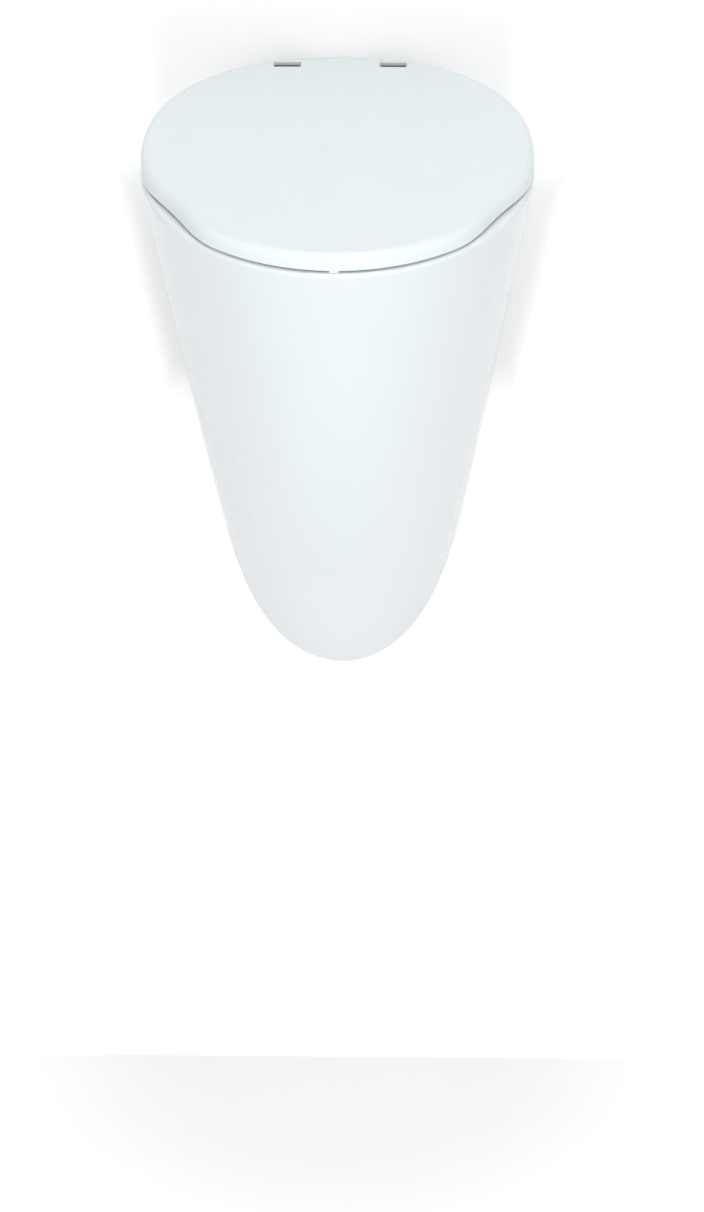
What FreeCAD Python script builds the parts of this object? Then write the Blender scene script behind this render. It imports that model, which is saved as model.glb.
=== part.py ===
import FreeCAD, Part
import math
import os

# Wall hung urinal with a hinged lid.
#
# World frame, millimetres: the wall is the plane Y = 0 and the front of the urinal faces -Y, +X is to the
# right seen from the front, +Z is up. The origin is the middle of the four holes of the wall hangers.
# Rim frame: the rim and the lid slope down to the front, so they are drawn in a frame of their own. In it
# u is to the right, v is the distance from the wall along the rim plane and w the height above that plane.

# ---------------------------------------------------------------- driving dimensions

RIM_SLOPE = 10.6            # degrees that the rim plane falls towards the front
RIM_HEIGHT = 150.0          # where the rim plane meets the wall, above the hanger holes

# ceramic body: the outline of its level sections, parallel to the rim plane
BODY_LENGTH = 620.0         # from the rim plane down to the level of the tip on the wall
WIDTH_TOP = 348.0
WIDTH_MID = 279.8           # half way down
WIDTH_LOW = 205.8           # at the level of the tip
FRONT_TOP = 358.4           # foremost point of the section, from the wall
FRONT_MID = 265.3
FRONT_LOW = 118.2
WIDEST_TOP = 176.0          # where the section is widest, from the wall
WIDEST_LOW = 8.3
REAR_TOP = 6.0              # rearmost point; lower sections run on behind the wall and are cut off by it
REAR_LOW = -180.0
FRONT_POWER = 2.0           # roundness of the front half of a section: 2 is an ellipse, more is squarer
REAR_POWER = 2.25
SHELL_WALL = 12.0
RIM_THICKNESS = 16.0
RIM_EDGE_RADIUS = 4.0

# bowl
BOWL_REAR_TOP = 92.0        # rear edge of the bowl's opening, from the wall
BOWL_REAR_LOW = 84.0
RIM_WIDTH = 34.0            # from the outer edge of the rim to the bowl, at the front and the sides
BOWL_DEPTH = 350.0
BOWL_LOW_WIDTH = 72.0
BOWL_LOW_FRONT = 146.0
BOWL_WALL = 9.0
BOWL_POWER = 2.2
BOWL_WIDEST = 0.45          # where the bowl is widest, as a share of its length from the rear
BOWL_EDGE_RADIUS = 5.0
SUMP_RADIUS = 9.0

# rear deck, with the trough that the hinges stand in
DECK_THICKNESS = 27.0
DECK_REACH = 62.0
TROUGH_DEPTH = 13.0
TROUGH_WIDTH = 184.0
TROUGH_FRONT = 46.0
TROUGH_CORNER = 8.0

# lid
LID_GAP = 3.0               # between the rim and the lid's lower edge
LID_THICKNESS = 17.0
LID_SKIN = 4.5
LID_WALL = 4.5
LID_INSET = 1.2             # the lid's edge lies this far inside the rim's edge
LID_REAR = 10.2             # lid's rear edge, from the wall
LID_EDGE_RADIUS = 8.0
LID_CROWN_RADIUS = 9000.0   # the lid's top is a shallow dome
GRIP_ANGLE = 57.8           # middle of a side grip, in degrees from the front round the outline
GRIP_SPREAD = 21.6          # half the angle over which a grip runs
GRIP_DEPTH = 8.1
RIB_BITE = 1.0              # how far a lug or boss runs into the wall that it stands on

# hinges
HINGE_SPACING = 97.0
HINGE_V = 28.0              # hinge axis, from the wall
HINGE_W = 9.5               # hinge axis, above the rim plane
KNUCKLE_RADIUS = 7.0
KNUCKLE_LENGTH = 23.0
KNUCKLE_GAP = 0.5           # between the knuckle and the lid, all round and at each end
POST_BACK = 5.0             # post's rear face, from the hinge axis: at the axis and at the foot
POST_BACK_LOW = 1.0
POST_FRONT = 7.5
POST_WIDTH = 20.0
FOOT_WIDTH = 23.0
FOOT_LENGTH = 27.0
FOOT_THICKNESS = 2.0
FOOT_CORNER = 4.6
FOOT_SEAL = 1.0
PIN_RADIUS = 3.0
PIN_PLAY = 0.05             # running fit of the pin in the damper
PIN_INSET = 1.0             # pin's ends, inside the outer faces of the lugs
PIN_CHAMFER = 0.6
DAMPER_RADIUS = 5.0
DAMPER_PLAY = 0.05
DAMPER_WAIST = 0.6
LUG_THICKNESS = 7.5
LUG_RADIUS = 7.5
SLOT_LENGTH = 25.0
SLOT_REAR = 25.0            # rear and front edge of a slot in the lid's top, from the wall
SLOT_FRONT = 34.0
NOTCH_SIDE = 1.6            # the notch in the lid's rear wall is wider than the foot by this on each side
GRUB_RADIUS = 1.5
GRUB_LENGTH = 3.4

# hinge fixing under the deck
STUD_RADIUS = 3.0
STUD_V = 31.0               # stud's axis, from the wall: ahead of the hinge axis
STUD_HOLE = 5.0
STUD_LENGTH = 48.0
STUD_GRIP = 11.5            # length of the stud that is screwed into the post
STUD_CHAMFER = 0.5
BUSH_RADIUS = 9.0
BUSH_THICKNESS = 5.0
BUSH_PLAY = 0.2
BUSH_NOSE_WALL = 0.8
WASHER_THICKNESS = 1.5
WING_NUT_RADIUS = 6.0
WING_NUT_HEIGHT = 8.0
WING_NUT_TAPER = 1.0
WING_SPAN = 26.0
WING_THICKNESS = 2.5
WING_TOP = 2.0              # top and bottom of the wings, below the top of the nut
WING_BOTTOM = 12.0
WING_CORNER = 2.7

# lid buffers
BUFFER_WIDTH = 8.0
BUFFER_LENGTH = 12.0
BUFFER_STEM = 2.0
BUFFER_REST = 0.3           # height over the rim at which a buffer's foot ends
BUFFER_SETBACK = 1.0        # front buffer's face, behind the lid's front edge
SIDE_BUFFER_V = 196.0
SIDE_BUFFER_INSET = 15.0
REAR_BUFFER_V = 72.0
REAR_BUFFER_U = 96.0
BUFFER_BOSS_WALL = 3.0

# hanging on the wall
HANGER_SPACING_X = 160.0
HANGER_SPACING_Z = 36.0
HANGER_HOLE = 4.25
HANGER_WIDTH = 30.0
HANGER_SHEET = 3.0
HANGER_BELOW = 12.0         # sheet below the lower hole
HOOK_LEVEL = 37.0           # top of the hook's shelf
HOOK_HEIGHT = 16.0
BEAM_DEPTH = 14.7
BEAM_HEIGHT = 24.0
BEAM_TO_WALL = 3.3
HOOK_PAD = 1.5
HOOK_PAD_INSET = 1.0
HOOK_GAP = 1.0
HOOK_BEND = 2.4

# side clamps
CLAMP_Z = -159.0
CLAMP_Y = -20.0
CLAMP_SEAT_X = 131.0        # flat seat of the screw's head, from the middle
CLAMP_POCKET = 8.0
CLAMP_BOSS = 12.0
CLAMP_BOSS_LENGTH = 10.0
CLAMP_SCREW = 3.0
CLAMP_HOLE = 4.5
CLAMP_HEAD = 5.5
CLAMP_HEAD_HEIGHT = 4.0
CLAMP_KEY = 2.75
CLAMP_KEY_DEPTH = 2.0
CLAMP_SCREW_LENGTH = 22.0
SLEEVE_COLLAR = 1.0
ANGLE_SHEET = 3.0
ANGLE_CORNER = 8.0
ANGLE_HEIGHT = 40.0
ANGLE_REACH = 34.0
ANGLE_FOOT = 32.0
ANGLE_HOLE = 3.5
ANGLE_HOLE_INSET = 18.0     # wall hole, from the outer face of the upright leg
CAP_PLAY = 0.2

# flush inlet
INLET_Z = 88.0
INLET_BOSS = 26.0
INLET_BOSS_FRONT = 87.0     # faces of the ceramic boss, from the wall
INLET_BOSS_REAR = 66.0
SHANK_RADIUS = 13.0
SHANK_BORE = 9.0
SHANK_HOLE = 14.6
SHANK_END = 36.0            # the shank's rear end, from the wall
INLET_GASKET = 2.0
SPREADER_FLANGE = 22.0
SPREADER_FLANGE_THICKNESS = 3.5
SPREADER_RADIUS = 16.0
SPREADER_LENGTH = 18.0
SPREADER_EDGE = 4.0
SPREADER_JETS = 7
JET_RADIUS = 2.2
LOCK_NUT_RADIUS = 21.0
LOCK_NUT_THICKNESS = 9.0
CONNECTOR_RADIUS = 19.0
CONNECTOR_FRONT = 50.0
CONNECTOR_STEP = 28.0
CONNECTOR_SOCKET = 16.2
SUPPLY_BORE = 10.65
SUPPLY_LENGTH = 25.0
BACK_PLAY = 1.0             # what stops just short of the wall
LIP_SEAL_LENGTH = 12.0
LIP_SEAL_INSET = 2.0

# waste outlet and trap: they hang from the bowl's floor and follow it
OUTLET_Y = -48.6
OUTLET_SEAT_RISE = 1.2      # flat seat of the waste flange, above the bowl's floor at the outlet
OUTLET_BOSS = 36.0
OUTLET_BOSS_BELOW = 15.0    # underside of the boss, below the seat
OUTLET_BOSS_RISE = 10.0     # top of the boss above the seat
OUTLET_POCKET = 30.5
OUTLET_HOLE = 21.0
FLANGE_PLAY = 1.0
FLANGE_GASKET = 1.5
FLANGE_THICKNESS = 4.5
TAIL_RADIUS = 19.0
TAIL_WALL = 3.0
TAIL_LENGTH = 44.0          # below the ceramic seat
BRIDGE_WIDTH = 9.0
BRIDGE_DEPTH = 8.0
STRAINER_RADIUS = 26.0
STRAINER_THICKNESS = 2.0
STRAINER_CROWN = 5.0
STRAINER_RIM = 5.0          # width of the flat rim, below and above
STRAINER_RIM_TOP = 4.0
STRAINER_HOLES = 10
STRAINER_HOLE = 3.0
STRAINER_RING = 17.0
STRAINER_SCREW = 2.5
STRAINER_SCREW_LENGTH = 11.0
STRAINER_HEAD = 5.0
STRAINER_SLOT = 1.0
UNDER_GASKET = 2.0
WASTE_NUT_RADIUS = 30.0
WASTE_NUT_HEIGHT = 9.0
TRAP_Y = -58.0
TRAP_RADIUS = 34.0
TRAP_WALL = 3.0
TRAP_BELOW = 36.0           # top of the trap's cup, below the seat
TRAP_HEIGHT = 78.0
TRAP_CORNER = 8.5
NECK_RADIUS = 24.5
NECK_HEIGHT = 7.0
NECK_BORE = 22.0
UNION_WALL = 3.5
UNION_PLAY = 0.3
UNION_LIP = 2.0
DIP_ABOVE = 22.0            # lower end of the dip tube, above the foot of the trap
DIP_WALL = 2.0
DIP_PLAY = 0.1
DIP_TOP = 24.0              # length of the dip tube inside the tail
SOCKET_BELOW = 35.0         # axis of the waste socket, below the top of the trap's cup
SOCKET_RADIUS = 30.0
WASTE_BORE = 25.1
WASTE_LENGTH = 21.5
WASTE_PASSAGE = 20.0
SOCKET_SEAL_RADIUS = 28.0
SOCKET_SEAL_LENGTH = 5.5

# drawing aids
SECTION_POINTS = 32
LID_POINTS = 120
BODY_SECTIONS = 6
OVERRUN = 5.0               # how far a cutting tool runs past what it cuts
BELOW_TIP = 24.0            # the lofts run on below the tip, behind the wall
LEVEL = 0.01                # edges within this distance count as level

X_AXIS = FreeCAD.Vector(1, 0, 0)
Y_AXIS = FreeCAD.Vector(0, 1, 0)
Z_AXIS = FreeCAD.Vector(0, 0, 1)
LID_TOP = LID_GAP + LID_THICKNESS

# levels that follow the bowl's floor
SLOPE = math.radians(RIM_SLOPE)
BOWL_FLOOR_Z = RIM_HEIGHT + (OUTLET_Y * math.sin(SLOPE) - BOWL_DEPTH) / math.cos(SLOPE)
OUTLET_SEAT_Z = BOWL_FLOOR_Z + OUTLET_SEAT_RISE
OUTLET_BOSS_BOTTOM = OUTLET_SEAT_Z - OUTLET_BOSS_BELOW
TRAP_TOP = OUTLET_SEAT_Z - TRAP_BELOW
TRAP_BOTTOM = TRAP_TOP - TRAP_HEIGHT
DIP_END = TRAP_BOTTOM + DIP_ABOVE
SOCKET_Z = TRAP_TOP - SOCKET_BELOW


# ---------------------------------------------------------------- helpers

def rim_point(u, v, w):
    """A point of the rim frame, in the rim frame's own axes: x = u, y = -v, z = w."""
    return FreeCAD.Vector(u, -v, w)


def from_rim(shape):
    """Carries a shape drawn in the rim frame into the world."""
    placed = shape.copy()
    placed.rotate(FreeCAD.Vector(0, 0, 0), X_AXIS, RIM_SLOPE)
    placed.translate(FreeCAD.Vector(0, 0, RIM_HEIGHT))
    return placed


def box(x0, x1, y0, y1, z0, z1):
    return Part.makeBox(x1 - x0, y1 - y0, z1 - z0, FreeCAD.Vector(x0, y0, z0))


def rod(radius, start, direction, length):
    return Part.makeCylinder(radius, length, start, direction)


def ring(outer, inner, start, direction, length):
    return rod(outer, start, direction, length).cut(rod(inner, start, direction, length))


def hexagon(radius, start, direction, length):
    """A hexagonal prism whose corners lie on the radius."""
    blank = Part.makePolygon(
        [FreeCAD.Vector(radius * math.cos(a), radius * math.sin(a), 0)
         for a in (k * math.pi / 3 for k in range(7))]
    )
    prism = Part.Face(blank).extrude(FreeCAD.Vector(0, 0, length))
    prism.Placement = FreeCAD.Placement(start, FreeCAD.Rotation(Z_AXIS, direction))
    return prism


def mirrored(shape):
    return shape.mirror(FreeCAD.Vector(0, 0, 0), X_AXIS)


def pair(shape):
    """The right-hand piece and its mirror image, as two separate solids."""
    return Part.makeCompound([shape, mirrored(shape)])


def through_three(top, middle, low, depth):
    """The value at a depth of a smooth curve through three values: rim, half way and tip."""
    t = depth / BODY_LENGTH
    return top * (1 - t) * (1 - 2 * t) + 4 * middle * t * (1 - t) + low * t * (2 * t - 1)


def between(top, low, depth, full_depth):
    return top + (low - top) * depth / full_depth


def half_power(value, power):
    return math.copysign(abs(value) ** (2.0 / power), value)


def outline(half_width, rear, widest, front, rear_power, front_power, w, points, grip=0.0):
    """A closed egg-shaped wire at height w: two half ovals that meet where it is widest."""
    corners = []
    for k in range(points):
        angle = 2 * math.pi * k / points
        ahead = math.cos(angle)
        power, reach = (front_power, front - widest) if ahead > 0 else (rear_power, widest - rear)
        u = half_width * half_power(math.sin(angle), power)
        v = widest + reach * half_power(ahead, power)
        from_grip = abs(math.degrees(math.pi - abs(angle - math.pi)) - GRIP_ANGLE)
        if grip and from_grip < GRIP_SPREAD:
            depth = grip * (1 + math.cos(math.pi * from_grip / GRIP_SPREAD)) / 2
            u -= depth * math.sin(angle)
            v -= depth * ahead
        corners.append(rim_point(u, v, w))
    curve = Part.BSplineCurve()
    curve.interpolate(corners, PeriodicFlag=True)
    return Part.Wire(curve.toShape())


# ---------------------------------------------------------------- ceramic body

def body_outline(depth, inset):
    """The outer outline at a depth below the rim plane, drawn in all round by inset."""
    return outline(
        through_three(WIDTH_TOP, WIDTH_MID, WIDTH_LOW, depth) / 2 - inset,
        between(REAR_TOP, REAR_LOW, depth, BODY_LENGTH) + inset,
        between(WIDEST_TOP, WIDEST_LOW, depth, BODY_LENGTH),
        through_three(FRONT_TOP, FRONT_MID, FRONT_LOW, depth) - inset,
        REAR_POWER, FRONT_POWER, -depth, SECTION_POINTS,
    )


def body_solid(start, inset):
    bottom = BODY_LENGTH + BELOW_TIP
    depths = [start + (bottom - start) * k / (BODY_SECTIONS - 1) for k in range(BODY_SECTIONS)]
    return Part.makeLoft([body_outline(d, inset) for d in depths], True)


def bowl_outline(depth, grow):
    """The bowl's outline: it follows the rim at the top and closes in on the sump."""
    t = min(depth / BOWL_DEPTH, 1.0)
    ease = t * t
    rear = between(BOWL_REAR_TOP, BOWL_REAR_LOW, t, 1.0)
    side = through_three(WIDTH_TOP, WIDTH_MID, WIDTH_LOW, t * BOWL_DEPTH) / 2 - RIM_WIDTH
    half_width = side * (1 - ease) + BOWL_LOW_WIDTH / 2 * ease
    ahead = through_three(FRONT_TOP, FRONT_MID, FRONT_LOW, t * BOWL_DEPTH) - RIM_WIDTH
    front = ahead * (1 - ease) + BOWL_LOW_FRONT * ease
    widest = rear + (front - rear) * BOWL_WIDEST
    return outline(half_width + grow, rear - grow, widest, front + grow, BOWL_POWER, BOWL_POWER,
                   -depth, SECTION_POINTS)


def bowl_solid(start, end, grow):
    depths = [start + (end - start) * k / (BODY_SECTIONS - 1) for k in range(BODY_SECTIONS)]
    return Part.makeLoft([bowl_outline(d, grow) for d in depths], True)


def level_edges(shape, w):
    """The edges of a shape in the rim frame that lie in the plane at height w."""
    return [e for e in shape.Edges if abs(e.BoundBox.ZMin - w) < LEVEL and abs(e.BoundBox.ZMax - w) < LEVEL]


def above_rim(point):
    """Height of a point of the world above the rim plane."""
    return (point.z - RIM_HEIGHT) * math.cos(SLOPE) - point.y * math.sin(SLOPE)


def mouth_edge(shape):
    """The closed edge round the bowl's opening, in the world."""
    return [e for e in shape.Edges
            if e.isClosed() and all(abs(above_rim(p)) < LEVEL for p in e.discretize(SECTION_POINTS))]


def hinge_u(side):
    return side * HINGE_SPACING / 2


def inlet_point(from_wall):
    return FreeCAD.Vector(0, -from_wall, INLET_Z)


def outlet_point(z):
    return FreeCAD.Vector(0, OUTLET_Y, z)


def clamp_point(x):
    return FreeCAD.Vector(x, CLAMP_Y, CLAMP_Z)


def angle_face():
    """Outer face of a side angle's upright leg: it meets the end of the ceramic boss."""
    return CLAMP_SEAT_X - CLAMP_BOSS_LENGTH


def make_ceramic():
    reach = FRONT_TOP + OVERRUN
    room = box(-reach, reach, -reach, 0, -BODY_LENGTH, RIM_HEIGHT + OVERRUN)

    outer = body_solid(0, 0)
    outer = outer.makeFillet(RIM_EDGE_RADIUS, level_edges(outer, 0))
    outer = from_rim(outer).common(room)
    hollow = from_rim(body_solid(RIM_THICKNESS, SHELL_WALL))
    deck = from_rim(box(-reach, reach, -DECK_REACH, OVERRUN, -DECK_THICKNESS, 0))
    beam = box(-reach, reach, -BEAM_TO_WALL - BEAM_DEPTH, -BEAM_TO_WALL,
               HOOK_LEVEL + HOOK_PAD, HOOK_LEVEL + HOOK_PAD + BEAM_HEIGHT)
    bowl = from_rim(bowl_solid(RIM_THICKNESS / 2, BOWL_DEPTH + BOWL_WALL, BOWL_WALL))
    inlet_boss = rod(INLET_BOSS, inlet_point(INLET_BOSS_REAR), -Y_AXIS, INLET_BOSS_FRONT - INLET_BOSS_REAR)
    outlet_boss = rod(OUTLET_BOSS, outlet_point(OUTLET_BOSS_BOTTOM), Z_AXIS,
                      OUTLET_SEAT_Z + OUTLET_BOSS_RISE - OUTLET_BOSS_BOTTOM)
    clamp_boss = rod(CLAMP_BOSS, clamp_point(angle_face()), X_AXIS, CLAMP_BOSS_LENGTH)
    solid = outer.cut(hollow).fuse([
        piece.common(outer)
        for piece in (deck, beam, bowl, outlet_boss, clamp_boss, mirrored(clamp_boss))
    ])

    inside = bowl_solid(0, BOWL_DEPTH, 0)
    inside = inside.makeFillet(SUMP_RADIUS, level_edges(inside, -BOWL_DEPTH))
    solid = solid.cut(from_rim(inside))
    solid = solid.fuse(inlet_boss)
    solid = solid.cut([
        make_trough(),
        rod(SHANK_HOLE, inlet_point(0), -Y_AXIS, INLET_BOSS_FRONT + OVERRUN),
        rod(OUTLET_POCKET, outlet_point(OUTLET_SEAT_Z), Z_AXIS, 2 * OUTLET_BOSS_RISE),
        rod(OUTLET_HOLE, outlet_point(OUTLET_BOSS_BOTTOM - OVERRUN), Z_AXIS,
            OUTLET_SEAT_Z - OUTLET_BOSS_BOTTOM + 2 * OVERRUN),
        rod(WASTE_NUT_RADIUS + FLANGE_PLAY, outlet_point(OUTLET_BOSS_BOTTOM), -Z_AXIS,
            UNDER_GASKET + WASTE_NUT_HEIGHT),
        stud_hole(1),
        stud_hole(-1),
        clamp_hole(),
        mirrored(clamp_hole()),
    ])
    return solid.makeFillet(BOWL_EDGE_RADIUS, mouth_edge(solid))


def make_trough():
    trough = box(-TROUGH_WIDTH / 2, TROUGH_WIDTH / 2, -TROUGH_FRONT, 2 * OVERRUN, -TROUGH_DEPTH, OVERRUN)
    corners = [e for e in trough.Edges
               if e.BoundBox.ZLength > OVERRUN and abs(e.BoundBox.YMin + TROUGH_FRONT) < LEVEL]
    return from_rim(trough.makeFillet(TROUGH_CORNER, corners))


def stud_hole(side):
    return from_rim(rod(STUD_HOLE, rim_point(hinge_u(side), STUD_V, -DECK_THICKNESS - OVERRUN), Z_AXIS,
                        DECK_THICKNESS + OVERRUN))


def clamp_hole():
    pocket = rod(CLAMP_POCKET, clamp_point(CLAMP_SEAT_X), X_AXIS, WIDTH_TOP / 2 - CLAMP_SEAT_X)
    return pocket.fuse(rod(CLAMP_HOLE, clamp_point(CLAMP_SEAT_X), -X_AXIS, CLAMP_BOSS_LENGTH + OVERRUN))


# ---------------------------------------------------------------- lid

def lid_outline(inset, w):
    return outline(
        WIDTH_TOP / 2 - LID_INSET - inset, LID_REAR + inset, WIDEST_TOP, FRONT_TOP - LID_INSET - inset,
        REAR_POWER, FRONT_POWER, w, LID_POINTS, GRIP_DEPTH,
    )


def lid_plate(inset, low, high):
    return Part.Face(lid_outline(inset, low)).extrude(FreeCAD.Vector(0, 0, high - low))


def buffer_places():
    """The lid's hidden buffers in the rim frame: the two at the sides and the two at the rear, right hand."""
    return [
        rim_point(WIDTH_TOP / 2 - SIDE_BUFFER_INSET, SIDE_BUFFER_V, 0),
        rim_point(REAR_BUFFER_U, REAR_BUFFER_V, 0),
    ]


def make_lid():
    dome = Part.makeSphere(LID_CROWN_RADIUS, rim_point(0, WIDEST_TOP, LID_TOP - LID_CROWN_RADIUS))
    plate = lid_plate(0, LID_GAP, LID_TOP + OVERRUN).common(dome)
    crown = [e for e in plate.Edges if e.BoundBox.ZMin > LID_TOP - LID_EDGE_RADIUS]
    shell = plate.makeFillet(LID_EDGE_RADIUS, crown)
    roof = LID_TOP - LID_SKIN - KNUCKLE_GAP
    shell = shell.cut(lid_plate(LID_WALL, LID_GAP - OVERRUN, roof))

    for side in (-1, 1):
        u = hinge_u(side)
        lug_start = KNUCKLE_LENGTH / 2 + KNUCKLE_GAP
        lugs = []
        for hand in (-1, 1):
            near = u + hand * lug_start
            far = near + hand * LUG_THICKNESS
            low, high = min(near, far), max(near, far)
            block = box(low, high, -HINGE_V - LUG_RADIUS, -HINGE_V + LUG_RADIUS, HINGE_W, roof + RIB_BITE)
            barrel = rod(LUG_RADIUS, rim_point(low, HINGE_V, HINGE_W), X_AXIS, LUG_THICKNESS)
            lugs += [block, barrel]
        shell = shell.fuse(lugs)
        notch = FOOT_WIDTH / 2 + NOTCH_SIDE
        shell = shell.cut([
            rod(KNUCKLE_RADIUS + KNUCKLE_GAP, rim_point(u - lug_start, HINGE_V, HINGE_W), X_AXIS,
                2 * lug_start),
            box(u - lug_start, u + lug_start, -HINGE_V - LUG_RADIUS, 0, LID_GAP - OVERRUN, roof),
            box(u - notch, u + notch, -LID_REAR - 2 * LID_WALL, 0, LID_GAP - OVERRUN, roof),
            box(u - SLOT_LENGTH / 2, u + SLOT_LENGTH / 2, -SLOT_FRONT, -SLOT_REAR, HINGE_W,
                LID_TOP + OVERRUN),
            rod(PIN_RADIUS, rim_point(u - pin_half(), HINGE_V, HINGE_W), X_AXIS, 2 * pin_half()),
            grub_rod(u),
        ])

    for place in buffer_places():
        for side in (-1, 1):
            spot = FreeCAD.Vector(side * place.x, place.y, LID_GAP)
            shell = shell.fuse(rod(BUFFER_STEM + BUFFER_BOSS_WALL, spot, Z_AXIS,
                                   roof + RIB_BITE - LID_GAP))
            shell = shell.cut(rod(BUFFER_STEM, spot, Z_AXIS, buffer_stem_length()))
    half = BUFFER_WIDTH / 2 + BUFFER_BOSS_WALL
    shell = shell.fuse(box(-half, half, -buffer_front() + RIB_BITE,
                           -buffer_front() + BUFFER_LENGTH + BUFFER_BOSS_WALL, LID_GAP, roof + RIB_BITE))
    shell = shell.cut(front_stem())
    return from_rim(shell.removeSplitter())


def pin_half():
    return KNUCKLE_LENGTH / 2 + KNUCKLE_GAP + LUG_THICKNESS - PIN_INSET


def grub_place(u):
    side = math.copysign(1, u)
    return u + side * (KNUCKLE_LENGTH / 2 + KNUCKLE_GAP + LUG_THICKNESS / 2)


def grub_rod(u):
    """The small screw that holds the pin in the lid's outer lug, from below."""
    return rod(GRUB_RADIUS, rim_point(grub_place(u), HINGE_V, HINGE_W - PIN_RADIUS), -Z_AXIS, GRUB_LENGTH)


def buffer_stem_length():
    return (LID_THICKNESS - LID_SKIN) / 2


def make_round_buffer(place):
    head = rod(BUFFER_WIDTH / 2, FreeCAD.Vector(place.x, place.y, BUFFER_REST), Z_AXIS,
               LID_GAP - BUFFER_REST)
    stem = rod(BUFFER_STEM, FreeCAD.Vector(place.x, place.y, LID_GAP), Z_AXIS, buffer_stem_length())
    return from_rim(head.fuse(stem))


def buffer_front():
    return FRONT_TOP - LID_INSET - BUFFER_SETBACK


def front_stem():
    return rod(BUFFER_STEM, rim_point(0, buffer_front() - BUFFER_LENGTH + BUFFER_WIDTH / 2, LID_GAP), Z_AXIS,
               buffer_stem_length())


def make_front_buffer():
    """The one buffer that shows, as a pale stop under the middle of the lid's front edge."""
    half = BUFFER_WIDTH / 2
    tail_v = buffer_front() - BUFFER_LENGTH + half
    pad = box(-half, half, -buffer_front(), -tail_v, BUFFER_REST, LID_GAP)
    tail = rod(half, rim_point(0, tail_v, BUFFER_REST), Z_AXIS, LID_GAP - BUFFER_REST)
    return from_rim(pad.fuse([tail, front_stem()]).removeSplitter())


# ---------------------------------------------------------------- hinges

def foot_level():
    return -TROUGH_DEPTH + FOOT_SEAL


def stud_top():
    return foot_level() + STUD_GRIP


def foot_plate(u, width, length, low, thickness):
    plate = box(u - width / 2, u + width / 2, -STUD_V - length / 2, -STUD_V + length / 2,
                low, low + thickness)
    upright = [e for e in plate.Edges if abs(e.BoundBox.ZLength - thickness) < LEVEL]
    return plate.makeFillet(FOOT_CORNER, upright)


def make_hinge_post(side):
    u = hinge_u(side)
    start = rim_point(u - KNUCKLE_LENGTH / 2, HINGE_V, HINGE_W)
    knuckle = rod(KNUCKLE_RADIUS, start, X_AXIS, KNUCKLE_LENGTH)
    left = u - POST_WIDTH / 2
    side_view = [
        rim_point(left, HINGE_V - POST_BACK, HINGE_W),
        rim_point(left, HINGE_V - POST_BACK_LOW, foot_level()),
        rim_point(left, HINGE_V + POST_FRONT, foot_level()),
        rim_point(left, HINGE_V + POST_FRONT, HINGE_W),
    ]
    post = Part.Face(Part.makePolygon(side_view + side_view[:1])).extrude(POST_WIDTH * X_AXIS)
    foot = foot_plate(u, FOOT_WIDTH, FOOT_LENGTH, foot_level(), FOOT_THICKNESS)
    bore = rod(DAMPER_RADIUS + DAMPER_PLAY, start, X_AXIS, KNUCKLE_LENGTH)
    socket = rod(STUD_RADIUS, rim_point(u, STUD_V, foot_level()), Z_AXIS, STUD_GRIP)
    return from_rim(knuckle.fuse([post, foot]).cut([bore, socket]).removeSplitter())


def make_foot_seals():
    u = hinge_u(1)
    seal = foot_plate(u, FOOT_WIDTH, FOOT_LENGTH, -TROUGH_DEPTH, FOOT_SEAL)
    hole = rod(STUD_RADIUS, rim_point(u, STUD_V, -TROUGH_DEPTH), Z_AXIS, FOOT_SEAL)
    return pair(from_rim(seal.cut(hole)))


def make_damper(side):
    """A viscous cartridge: a barrel with end collars, held in the knuckle, that the pin turns in."""
    u = hinge_u(side)
    start = rim_point(u - KNUCKLE_LENGTH / 2, HINGE_V, HINGE_W)
    barrel = rod(DAMPER_RADIUS, start, X_AXIS, KNUCKLE_LENGTH)
    waist = ring(DAMPER_RADIUS, DAMPER_RADIUS - DAMPER_WAIST, start + KNUCKLE_LENGTH / 4 * X_AXIS,
                 X_AXIS, KNUCKLE_LENGTH / 2)
    bore = rod(PIN_RADIUS + PIN_PLAY, start, X_AXIS, KNUCKLE_LENGTH)
    return from_rim(barrel.cut([waist, bore]))


def make_hinge_pin(side):
    u = hinge_u(side)
    pin = rod(PIN_RADIUS, rim_point(u - pin_half(), HINGE_V, HINGE_W), X_AXIS, 2 * pin_half())
    ends = [e for e in pin.Edges if e.BoundBox.XLength < LEVEL]
    return from_rim(pin.makeChamfer(PIN_CHAMFER, ends))


def make_hinge_grubs():
    return pair(from_rim(grub_rod(hinge_u(1))))


def under_deck(u):
    return rim_point(u, STUD_V, -DECK_THICKNESS)


def make_hinge_studs():
    u = hinge_u(1)
    stud = rod(STUD_RADIUS, rim_point(u, STUD_V, stud_top()), -Z_AXIS, STUD_LENGTH)
    tips = [e for e in stud.Edges if e.BoundBox.ZLength < LEVEL]
    return pair(from_rim(stud.makeChamfer(STUD_CHAMFER, tips)))


def make_hinge_bushes():
    """Rubber bushes: a tapered nose in the deck's hole and a collar under the deck."""
    u = hinge_u(1)
    collar = rod(BUSH_RADIUS, under_deck(u), -Z_AXIS, BUSH_THICKNESS)
    nose = Part.makeCone(STUD_HOLE - BUSH_PLAY, STUD_RADIUS + BUSH_NOSE_WALL, BUSH_THICKNESS,
                         under_deck(u), Z_AXIS)
    hole = rod(STUD_RADIUS, under_deck(u) - BUSH_THICKNESS * Z_AXIS, Z_AXIS, 2 * BUSH_THICKNESS)
    return pair(from_rim(collar.fuse(nose).cut(hole)))


def make_hinge_washers():
    u = hinge_u(1)
    start = under_deck(u) - BUSH_THICKNESS * Z_AXIS
    return pair(from_rim(ring(BUSH_RADIUS, STUD_RADIUS, start, -Z_AXIS, WASHER_THICKNESS)))


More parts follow.
